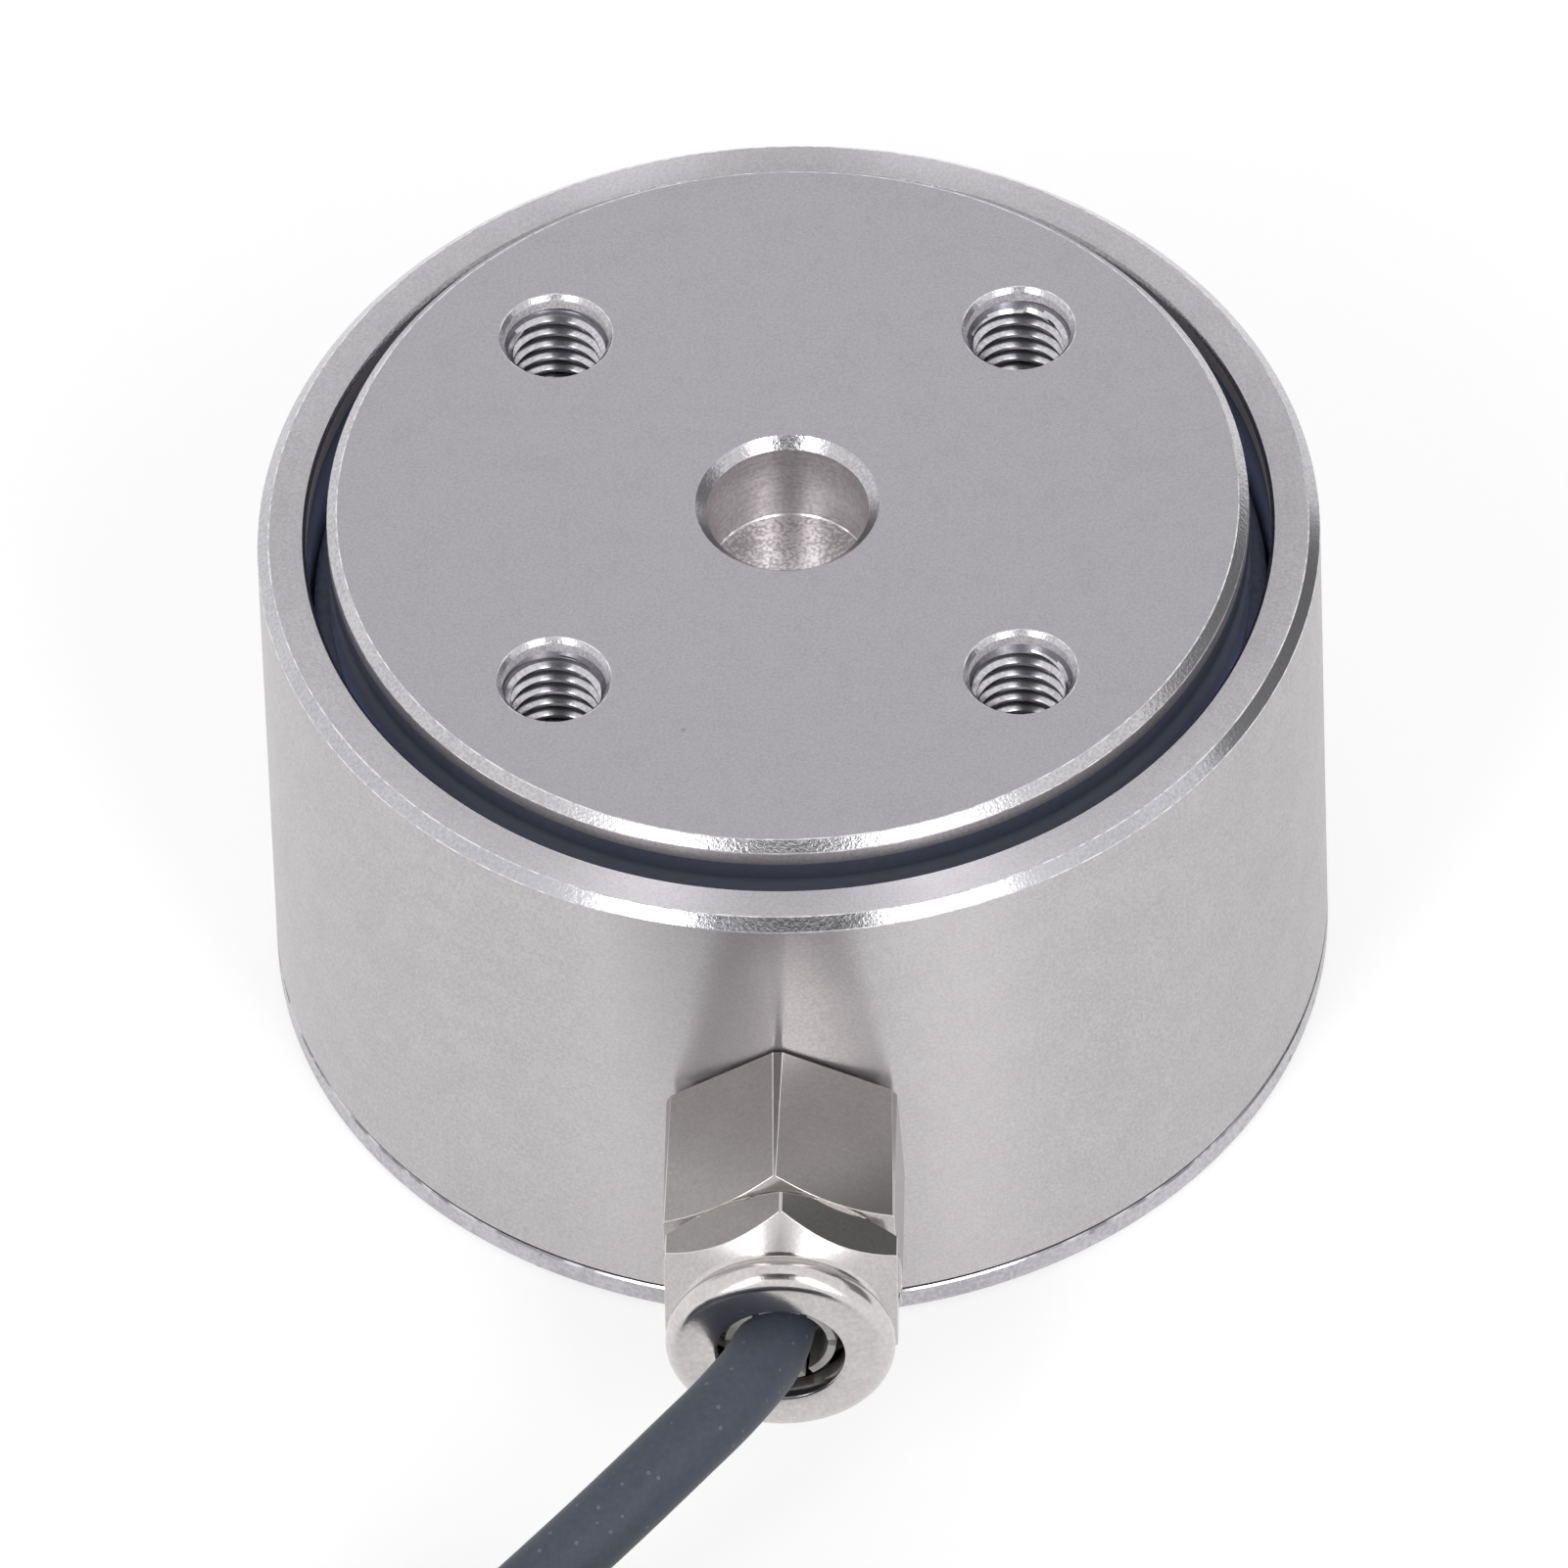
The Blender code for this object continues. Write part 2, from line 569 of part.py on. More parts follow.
def make_gauges(bench):
    """Four foil gauges on the column's flats, each with a ribbon down to the board."""
    for number in range(4):
        angle = number * math.pi / 2
        out = Vector((math.cos(angle), math.sin(angle), 0.0))
        seat = FLAT_DISTANCE + SEAT_GAP
        size = (GAUGE_THICKNESS, GAUGE_WIDTH, GAUGE_HEIGHT)
        name = f"strain_gauge_{number + 1}"
        gauge = bench.part(name, block_mesh(name, size), "gauge_film")
        gauge.location = out * (seat + GAUGE_THICKNESS / 2) + Vector((0.0, 0.0, COLUMN_MIDDLE))
        gauge.rotation_euler = (0.0, 0.0, angle)

        start = COLUMN_MIDDLE - GAUGE_HEIGHT / 2 - SEAT_GAP
        board = BOARD_TOP + SEAT_GAP
        bottom = min(board, start)
        near = seat + GAUGE_THICKNESS
        far = BOARD_INNER + RIBBON_WIDTH
        thick = RIBBON_THICKNESS
        outline = [(near - thick, start), (near - thick, bottom + thick), (near, bottom)]
        outline += [(far, bottom), (far, bottom + thick), (near + thick, bottom + thick)]
        outline += [(near, bottom + 2 * thick), (near, start)]
        ribbon = flat_outline(bench, f"gauge_ribbon_{number + 1}", outline, RIBBON_WIDTH, "gauge_film")
        ribbon.rotation_euler = (math.pi / 2, 0.0, angle)


def flat_outline(bench, name, outline, width, material):
    """A flat outline given a thickness."""
    curve = bpy.data.curves.new(name, "CURVE")
    curve.dimensions = "2D"
    curve.fill_mode = "BOTH"
    curve.extrude = width / 2
    spline = curve.splines.new("POLY")
    spline.points.add(len(outline) - 1)
    for point, (x, y) in zip(spline.points, outline):
        point.co = (x, y, 0.0, 1.0)
    spline.use_cyclic_u = True
    return bench.part(name, curve, material)


def make_board(bench):
    """The ring-shaped circuit board on its spacers, with the trimming resistors."""
    middle = BOARD_MIDDLE
    points = [(BOARD_INNER, BOARD_BOTTOM), (BOARD_INNER, BOARD_TOP)]
    points += [(BOARD_OUTER, BOARD_TOP), (BOARD_OUTER, BOARD_BOTTOM)]
    board = bench.part("circuit_board", profile_mesh("circuit_board", points, True), "board_green")
    turn(board, RING_STEPS)
    for number in range(SPACER_COUNT):
        angle = math.tau * (number + 0.5) / SPACER_COUNT
        name = f"board_spacer_{number + 1}"
        shape = prism_mesh(name, SPACER_DIAMETER / 2, SPACER_HEIGHT, SPACER_STEPS)
        spacer = bench.part(name, shape, "nylon")
        height = REGISTER_TOP + SEAT_GAP + SPACER_HEIGHT / 2
        spacer.location = (middle * math.cos(angle), middle * math.sin(angle), height)
    for number, degrees in enumerate(RESISTOR_ANGLES, 1):
        angle = math.radians(degrees)
        name = f"trim_resistor_{number}"
        resistor = bench.part(name, block_mesh(name, RESISTOR_SIZE), "resistor_blue")
        height = BOARD_TOP + SEAT_GAP + RESISTOR_SIZE[2] / 2
        resistor.location = (middle * math.cos(angle), middle * math.sin(angle), height)
        resistor.rotation_euler = (0.0, 0.0, angle + math.pi / 2)


def make_conductors(bench):
    """Four conductors from the cable's inner end down to pads on the board.

    They fan out towards their pads by two shares of the pads' own spread.
    """
    half = CONDUCTOR_SPREAD / 2
    starts = {-1: (-half, half), 0: (-half, -half), 1: (half, -half), 2: (half, half)}
    pad_z = BOARD_TOP + SEAT_GAP + CONDUCTOR_DIAMETER / 2
    for number, (name, pad) in enumerate(zip(CONDUCTOR_NAMES, CONDUCTOR_PADS)):
        dx, dz = starts[number - 1]
        inward = CONDUCTOR_SPREAD if dz > 0 else 0.0
        end = -CABLE_START
        step = CONDUCTOR_LENGTH
        drop = CONDUCTOR_DROP_LENGTHS * step
        route = [
            (dx, end + SEAT_GAP, GLAND_Z + dz),
            (dx, end + step, GLAND_Z + dz),
            (CONDUCTOR_FAN_START * pad + dx, end + 2 * step + inward, GLAND_Z - step / 2 + dz),
            (CONDUCTOR_FAN_END * pad, end + drop + inward, pad_z + step / 2),
            (pad, -BOARD_MIDDLE, pad_z),
        ]
        line = smooth_line(route, 2 * CONDUCTOR_DIAMETER)
        tube(bench, f"conductor_{name}", line, CONDUCTOR_DIAMETER, f"wire_{name}", 1)


def make_cable(bench):
    """The cable's free run, its coil, the tie, and the end with its leads."""
    route = [(0.0, -CABLE_START, GLAND_Z)]
    route += [(side, -BODY_RADIUS - out, up) for side, out, up in CABLE_ROUTE]
    tube(bench, "cable", smooth_line(route, CABLE_STEP), CABLE_DIAMETER, "cable_jacket", 3)

    inner = (COIL_MEAN_DIAMETER - COIL_WIDTH) / 2
    outer = (COIL_MEAN_DIAMETER + COIL_WIDTH) / 2
    round_off = CABLE_DIAMETER / 2
    points = arc((inner + round_off, COIL_TOP - round_off), round_off, 180, 90, 4)
    points += arc((outer - round_off, COIL_TOP - round_off), round_off, 90, 0, 4)
    points += arc((outer - round_off, COIL_LIFT + round_off), round_off, 0, -90, 4)
    points += arc((inner + round_off, COIL_LIFT + round_off), round_off, -90, -180, 4)
    coil = bench.part("cable_coil", profile_mesh("cable_coil", points, True), "cable_jacket")
    coil.location = (*COIL_CENTRE, 0.0)
    turn(coil, RING_STEPS)
    make_tie(bench, inner, outer)
    make_tail(bench)


def make_tie(bench, inner, outer):
    """A strap round the coil's bundle of turns, with its locking head outside."""
    reach = TIE_THICKNESS + SEAT_GAP
    size = (outer - inner + 2 * reach, TIE_WIDTH, COIL_HEIGHT + 2 * reach)
    tie = bench.part("coil_tie", block_mesh("coil_tie", size), "tie_black")
    hole = (outer - inner + 2 * SEAT_GAP, TIE_WIDTH + 2 * CUT_OVER, COIL_HEIGHT + 2 * SEAT_GAP)
    inside = bench.cutter("tie_cut", block_mesh("tie_cut", hole))
    head = bench.cutter("tie_head", block_mesh("tie_head", TIE_HEAD_SIZE))
    head_radius = outer + SEAT_GAP + (TIE_THICKNESS + TIE_HEAD_SIZE[0]) / 2
    radii = (COIL_MEAN_DIAMETER / 2, COIL_MEAN_DIAMETER / 2, head_radius)
    for piece, radius in zip((tie, inside, head), radii):
        piece.location = (
            COIL_CENTRE[0] + radius * math.cos(TIE_ANGLE),
            COIL_CENTRE[1] + radius * math.sin(TIE_ANGLE),
            COIL_LIFT + COIL_HEIGHT / 2,
        )
        piece.rotation_euler = (0.0, 0.0, TIE_ANGLE)
    soften(tie, TIE_THICKNESS / 2, 2)
    combine(tie, inside)
    combine(tie, head, "UNION")


def on_coil(angle, offset, z):
    """A point above the coil's middle turn, offset outwards."""
    radius = COIL_MEAN_DIAMETER / 2 + offset
    x = COIL_CENTRE[0] + radius * math.cos(angle)
    return (x, COIL_CENTRE[1] + radius * math.sin(angle), z)


def make_tail(bench):
    """The cable's end on top of the coil, its shrink sleeve and the four leads."""
    radius = COIL_MEAN_DIAMETER / 2
    count = 8
    angles = [TAIL_START + (TAIL_END - TAIL_START) * i / (count - 1) for i in range(count)]
    line = [on_coil(a, 0.0, TAIL_Z) for a in angles]
    tube(bench, "cable_end", line, CABLE_DIAMETER, "cable_jacket", 3)

    first = TAIL_END - END_SLEEVE_OVERLAP / radius
    last = first + END_SLEEVE_LENGTH / radius
    angles = [first + (last - first) * i / (count - 1) for i in range(count)]
    line = [on_coil(a, 0.0, TAIL_Z) for a in angles]
    sleeve = tube(bench, "end_sleeve", line, 2 * END_SLEEVE_RADIUS, "tie_black", 3)
    sleeve = mesh_from(bench, sleeve, "tie_black")
    over = CUT_OVER / radius
    line = [on_coil(a, 0.0, TAIL_Z) for a in [first - over] + angles + [last + over]]
    core = tube(bench, "sleeve_core", line, CABLE_DIAMETER + 2 * SEAT_GAP, "tie_black", 3)
    core = mesh_from(bench, core, "tie_black")
    bench.parts.objects.unlink(core)
    bench.cutters.objects.link(core)
    core.hide_render = True
    core.display_type = "WIRE"
    combine(sleeve, core)

    half = LEAD_SPREAD / 2
    places = ((-half, half), (-half, -half), (half, -half), (half, half))
    rest_z = COIL_TOP + SEAT_GAP + LEAD_DIAMETER / 2
    begin = TAIL_END + SEAT_GAP / radius
    for number, (name, (side, up)) in enumerate(zip(CONDUCTOR_NAMES, places)):
        fan = (number - 1.5) * LEAD_FAN
        route = []
        for i in range(7):
            share = i / 6
            bend = max(0.0, (share - LEAD_STRAIGHT_SHARE) / (1 - LEAD_STRAIGHT_SHARE))
            bend = bend * bend * (3 - 2 * bend)
            angle = begin + LEAD_LENGTH * share / radius
            height = TAIL_Z + up + (rest_z - TAIL_Z - up) * bend
            route.append(on_coil(angle, side + (fan - side) * bend, height))
        line = smooth_line(route, LEAD_STEP)
        tube(bench, f"lead_{name}", line, LEAD_DIAMETER, f"wire_{name}", 1)


def mesh_from(bench, piece, material):
    """Turns a curve piece into a closed mesh, so that it can be cut."""
    bpy.context.view_layer.update()
    evaluated = piece.evaluated_get(bpy.context.evaluated_depsgraph_get())
    mesh = bpy.data.meshes.new_from_object(evaluated)
    shape = bmesh.new()
    shape.from_mesh(mesh)
    bmesh.ops.remove_doubles(shape, verts=shape.verts, dist=0.00001)
    shape.to_mesh(mesh)
    shape.free()
    name, place = piece.name, piece.matrix_world.copy()
    bpy.data.objects.remove(piece, do_unlink=True)
    mesh.materials.clear()
    made = bench.part(name, mesh, material)
    made.matrix_world = place
    return made


def main():
    bench = Bench()
    make_load_column(bench)
    make_sleeve(bench)
    make_seals(bench)
    make_gland_body(bench)
    make_gland_nut(bench)
    make_gland_inside(bench)
    make_gauges(bench)
    make_board(bench)
    make_conductors(bench)
    make_cable(bench)
    bpy.context.view_layer.update()


main()
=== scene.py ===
"""Column load cell: fine surfaces, finishes, signal cable and studio.

Lengths are metres in the frame's axes: +Z up from the base plane, the gland along -Y.
"""

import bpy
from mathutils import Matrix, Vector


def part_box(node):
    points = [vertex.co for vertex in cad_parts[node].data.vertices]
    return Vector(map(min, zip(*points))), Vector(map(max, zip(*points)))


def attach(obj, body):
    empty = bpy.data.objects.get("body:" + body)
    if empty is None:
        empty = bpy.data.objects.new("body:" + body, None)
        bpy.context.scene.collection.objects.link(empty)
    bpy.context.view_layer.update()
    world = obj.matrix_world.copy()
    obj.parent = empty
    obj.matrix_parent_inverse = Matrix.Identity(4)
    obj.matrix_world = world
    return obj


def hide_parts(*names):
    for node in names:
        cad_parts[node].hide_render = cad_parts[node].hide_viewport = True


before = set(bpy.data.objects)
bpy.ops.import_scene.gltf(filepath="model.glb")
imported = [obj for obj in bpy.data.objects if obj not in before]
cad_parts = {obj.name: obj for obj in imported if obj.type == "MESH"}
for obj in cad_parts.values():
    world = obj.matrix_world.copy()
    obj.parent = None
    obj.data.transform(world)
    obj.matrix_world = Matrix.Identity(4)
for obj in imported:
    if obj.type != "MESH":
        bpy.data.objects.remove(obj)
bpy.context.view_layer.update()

import logging
import math
from dataclasses import dataclass, field
from enum import Enum
from functools import cache

import bmesh
import bpy
import numpy as np
from mathutils import Matrix, Vector

LOG = logging.getLogger("load_cell")
ROOT = "root"
MERGE = 0.000002
TAU = 2.0 * math.pi
FIRST_SPOKE = (0.3, 0.2, 0.93)
WHITE = (1.0, 1.0, 1.0, 1.0)
NOISE_RANGE = (0.3, 0.7)
CLOUD_WIDTH = 14.0
CREST_HEIGHT = 0.06
ROUGH_SPREAD = 0.04
PIT_SHADE = 0.55
SCRATCH_TURN = (0.4, 0.5, 0.9)
SCRATCH_SCALE = (300.0, 9000.0, 2500.0)
ACROSS_TURN = 0.25
PLASTIC_GRAIN = 2500.0
PLASTIC_BUMP = (0.4, 0.00001)
DUST = (0.30, 0.31, 0.33, 1.0)
DUST_SCALE = 1500.0


class Slot(Enum):
    """The record's material slot names, handed to dress with each new piece."""

    STEEL = "steel"
    TURNED_STEEL = "turned_steel"
    NICKEL = "nickel"
    RUBBER = "black_rubber"
    NYLON = "nylon"
    JACKET = "cable_jacket"


# Node groups and finishes


class Graph:
    """Places nodes in a tree and links sockets or sets values."""

    def __init__(self, tree: bpy.types.NodeTree) -> None:
        """Keeps the tree that nodes are added to."""
        self.tree = tree

    def fill(self, node: bpy.types.Node, inputs: dict) -> None:
        """Gives a node's inputs, by name or place, an output socket or a value each."""
        for key, value in inputs.items():
            if isinstance(value, bpy.types.NodeSocket):
                self.tree.links.new(value, node.inputs[key])
            else:
                node.inputs[key].default_value = value

    def add(self, kind: str, inputs: dict | None = None, **settings) -> bpy.types.Node:
        """Adds one node.

        Args:
            kind: the node's type name.
            inputs: a value or an output socket for each input, by name or place.
            settings: the node's own properties.

        Returns:
            The new node.
        """
        node = self.tree.nodes.new(kind)
        for name, value in settings.items():
            setattr(node, name, value)
        self.fill(node, inputs or {})
        return node

    def math(self, operation: str, first, second=0.0) -> bpy.types.NodeSocket:
        """Adds one Math node."""
        return self.add("ShaderNodeMath", {0: first, 1: second}, operation=operation).outputs[0]

    def spread(self, value, low: float, high: float, to_low: float, to_high: float):
        """Maps a value from one range onto another, held within its ends."""
        inputs = {"Value": value, "From Min": low, "From Max": high}
        inputs |= {"To Min": to_low, "To Max": to_high}
        return self.add("ShaderNodeMapRange", inputs).outputs[0]

    def blend(self, factor, first, second) -> bpy.types.NodeSocket:
        """Mixes two colours by a factor."""
        inputs = {0: factor, 6: first, 7: second}
        return self.add("ShaderNodeMix", inputs, data_type="RGBA").outputs[2]

    def noise(self, place, scale, detail: float, roughness: float = 0.5) -> bpy.types.NodeSocket:
        """Adds a noise pattern."""
        inputs = {"Vector": place, "Scale": scale, "Detail": detail, "Roughness": roughness}
        return self.add("ShaderNodeTexNoise", inputs).outputs[0]

    def bump(self, height, strength: float, distance: float) -> bpy.types.NodeSocket:
        """Turns a height into a bent normal."""
        inputs = {"Strength": strength, "Distance": distance, "Height": height}
        return self.add("ShaderNodeBump", inputs).outputs[0]

    def effect(self, group: bpy.types.NodeTree, **inputs) -> bpy.types.NodeSocket:
        """Adds a shared node group with its inputs by name."""
        return self.add("ShaderNodeGroup", inputs, node_tree=group).outputs[0]

    def place(self) -> bpy.types.NodeSocket:
        """Adds the Object coordinate."""
        return self.add("ShaderNodeTexCoord").outputs["Object"]


class Effects:
    """The node groups that several finishes share, each built once."""

    @staticmethod
    def start(name: str, output: str, **inputs: float) -> tuple[Graph, dict, bpy.types.Node]:
        """Starts a group that takes a Vector and gives one value.

        Args:
            name: the group's name.
            output: the name of its value.
            inputs: the default of each further input.

        Returns:
            The graph, the inner sockets of the inputs and the node that takes the value.
        """
        group = bpy.data.node_groups.new(name, "ShaderNodeTree")
        sockets = group.interface
        sockets.new_socket(name="Vector", in_out="INPUT", socket_type="NodeSocketVector")
        for key, value in inputs.items():
            socket = sockets.new_socket(name=key, in_out="INPUT", socket_type="NodeSocketFloat")
            socket.default_value = value
        sockets.new_socket(name=output, in_out="OUTPUT", socket_type="NodeSocketFloat")
        graph = Graph(group)
        given = dict(graph.add("NodeGroupInput").outputs.items())
        return graph, given, graph.add("NodeGroupOutput")

    @staticmethod
    @cache
    def fine_grain() -> bpy.types.NodeTree:
        """Blasted grain: two sizes of noise added, as a value about 0.5."""
        graph, given, out = Effects.start("fine_grain", "Value", Scale=3000.0, Cloud=0.3)
        small = graph.noise(given["Vector"], given["Scale"], 2.0, 0.6)
        wide = graph.math("DIVIDE", given["Scale"], CLOUD_WIDTH)
        large = graph.noise(given["Vector"], wide, 3.0)
        cloud = graph.math("MULTIPLY", graph.math("SUBTRACT", large, 0.5), given["Cloud"])
        graph.fill(out, {0: graph.math("ADD", small, cloud)})
        return graph.tree

    @staticmethod
    @cache
    def turned_lines() -> bpy.types.NodeTree:
        """Tool marks round the Z axis: noise stretched along the turn.

        A point's radius and height are taken very finely and its place round the axis
        slowly, so the noise draws out into long lines round the piece.
        """
        graph, given, out = Effects.start("turned_lines", "Value", Fineness=9000.0, Break=60.0)
        x, y, z = graph.add("ShaderNodeSeparateXYZ", {0: given["Vector"]}).outputs
        squares = graph.math("ADD", graph.math("MULTIPLY", x, x), graph.math("MULTIPLY", y, y))
        depth = graph.math("ADD", z, graph.math("SQRT", squares))
        scales = ((x, "Break"), (y, "Break"), (depth, "Fineness"))
        parts = [graph.math("MULTIPLY", part, given[scale]) for part, scale in scales]
        lines = graph.add("ShaderNodeCombineXYZ", dict(enumerate(parts))).outputs[0]
        graph.fill(out, {0: graph.noise(lines, 1.0, 3.0)})
        return graph.tree

    @staticmethod
    @cache
    def specks() -> bpy.types.NodeTree:
        """Sparse round specks: near the middle of a few cells of a cell pattern."""
        graph, given, out = Effects.start("specks", "Mask", Scale=800.0, Size=0.18, Share=0.3)
        inputs = {"Vector": given["Vector"], "Scale": given["Scale"]}
        cells = graph.add("ShaderNodeTexVoronoi", inputs).outputs
        near = graph.math("LESS_THAN", cells["Distance"], given["Size"])
        pick = graph.add("ShaderNodeSeparateColor", {0: cells["Color"]}).outputs[0]
        few = graph.math("LESS_THAN", pick, given["Share"])
        graph.fill(out, {0: graph.math("MULTIPLY", near, few)})
        return graph.tree

    @staticmethod
    @cache
    def scratches() -> bpy.types.NodeTree:
        """Fine straight scratches: the crests of a noise drawn out along one axis."""
        graph, given, out = Effects.start("scratches", "Mask", Share=0.62)
        above = graph.math("SUBTRACT", graph.noise(given["Vector"], 1.0, 2.0), given["Share"])
        graph.fill(out, {0: graph.spread(above, 0.0, CREST_HEIGHT, 0.0, 1.0)})
        return graph.tree


def shader_of(name: str) -> tuple[bpy.types.Material, Graph, bpy.types.Node]:
    """Starts a material.

    Args:
        name: the material's name.

    Returns:
        The material, its graph and its Principled BSDF.
    """
    material = bpy.data.materials.new(name)
    material.use_nodes = True
    return material, Graph(material.node_tree), material.node_tree.nodes["Principled BSDF"]


@dataclass(frozen=True)
class Metal:
    """A metal with grain, and where it says so tool marks, scratches and specks."""

    name: str
    light: tuple[float, float, float]
    dark: tuple[float, float, float]
    roughness: float
    grain: float
    grain_scale: float = 3000.0
    cloud: float = 0.2
    lines: float = 0.0
    line_fineness: float = 9000.0
    line_break: float = 60.0
    specks: float = 0.0
    speck_scale: float = 160.0
    speck_size: float = 0.025
    scratches: float = 0.0
    bump: float = 0.0
    anisotropy: float = 0.0

    def pattern(self, graph: Graph, place) -> bpy.types.NodeSocket:
        """Adds up grain, tool marks and scratches into one value about 0.5."""
        grain = graph.effect(
            Effects.fine_grain(), Vector=place, Scale=self.grain_scale, Cloud=self.cloud
        )
        value = graph.spread(grain, *NOISE_RANGE, 0.5 - self.grain, 0.5 + self.grain)
        if self.lines:
            drawn = graph.effect(
                Effects.turned_lines(), Vector=place, Fineness=self.line_fineness,
                Break=self.line_break,
            )
            drawn = graph.spread(drawn, *NOISE_RANGE, -self.lines, self.lines)
            value = graph.math("ADD", value, drawn)
        if self.scratches:
            inputs = {"Vector": place, "Rotation": SCRATCH_TURN, "Scale": SCRATCH_SCALE}
            tilted = graph.add("ShaderNodeMapping", inputs).outputs[0]
            drawn = graph.effect(Effects.scratches(), Vector=tilted)
            value = graph.math("ADD", value, graph.math("MULTIPLY", drawn, self.scratches))
        return value

    def make(self) -> bpy.types.Material:
        """Builds the metal's node tree.

        Returns:
            The material.
        """
        material, graph, shader = shader_of(self.name)
        place = graph.place()
        value = self.pattern(graph, place)
        colour = graph.blend(value, (*self.dark, 1.0), (*self.light, 1.0))
        if self.specks:
            mask = graph.effect(
                Effects.specks(), Vector=place, Scale=self.speck_scale, Size=self.speck_size
            )
            pit = (*(PIT_SHADE * c for c in self.dark), 1.0)
            colour = graph.blend(graph.math("MULTIPLY", mask, self.specks), colour, pit)
        ends = (self.roughness + ROUGH_SPREAD, self.roughness - ROUGH_SPREAD)
        rough = graph.spread(value, 0.0, 1.0, *ends)
        graph.fill(shader, {"Metallic": 1.0, "Base Color": colour, "Roughness": rough})
        if self.bump:
            graph.fill(shader, {"Normal": graph.bump(value, 1.0, self.bump)})
        if self.anisotropy:
            tangent = graph.add("ShaderNodeTangent", direction_type="RADIAL", axis="Z").outputs[0]
            inputs = {"Anisotropic": self.anisotropy, "Anisotropic Rotation": ACROSS_TURN}
            graph.fill(shader, inputs | {"Tangent": tangent})
        return material


@dataclass(frozen=True)
class Moulded:
    """A plastic or rubber, or the gap's painted shade, with a little grain, and where it says so
    dust.

    A lighter deep colour, painted light, takes over on the way down between two heights.
    """

    name: str
    colour: tuple[float, float, float]
    roughness: float
    specular: float = 0.5
    dust: float = 0.0
    mottle: float = 0.15
    transmission: float = 0.0
    sheen: float = 0.0
    # deep: a lighter colour painted in as light lower down, where the gap is in shade.
    deep: tuple[float, float, float] | None = None
    deep_from: float = 0.0
    deep_to: float = 0.0

    def make(self) -> bpy.types.Material:
        """Builds the plastic's node tree.

        Returns:
            The material.
        """
        material, graph, shader = shader_of(self.name)
        place = graph.place()
        grain = graph.effect(Effects.fine_grain(), Vector=place, Scale=PLASTIC_GRAIN)
        value = graph.spread(grain, *NOISE_RANGE, 0.0, 1.0)
        darker = (*(c * (1.0 - self.mottle) for c in self.colour), 1.0)
        lighter = (*(min(1.0, c * (1.0 + self.mottle)) for c in self.colour), 1.0)
        colour = graph.blend(value, darker, lighter)
        # Painted light: the lighter deep colour takes over lower down in the gap's shade.
        if self.deep:
            height = graph.add("ShaderNodeSeparateXYZ", {0: place}).outputs[2]
            down = graph.spread(height, self.deep_to, self.deep_from, 1.0, 0.0)
            colour = graph.blend(down, colour, (*self.deep, 1.0))
        if self.dust:
            mask = graph.effect(Effects.specks(), Vector=place, Scale=DUST_SCALE)
            colour = graph.blend(graph.math("MULTIPLY", mask, self.dust), colour, DUST)
        ends = (self.roughness - ROUGH_SPREAD, self.roughness + ROUGH_SPREAD)
        graph.fill(shader, {
            "Base Color": colour,
            "Roughness": graph.spread(value, 0.0, 1.0, *ends),
            "Specular IOR Level": self.specular,
            "Transmission Weight": self.transmission,
            "Sheen Weight": self.sheen,
            "Normal": graph.bump(value, *PLASTIC_BUMP),
        })
        return material


WIRES = {
    "red": (0.55, 0.03, 0.03),
    "black": (0.02, 0.02, 0.02),
    "green": (0.03, 0.30, 0.08),
    "white": (0.80, 0.80, 0.78),
}

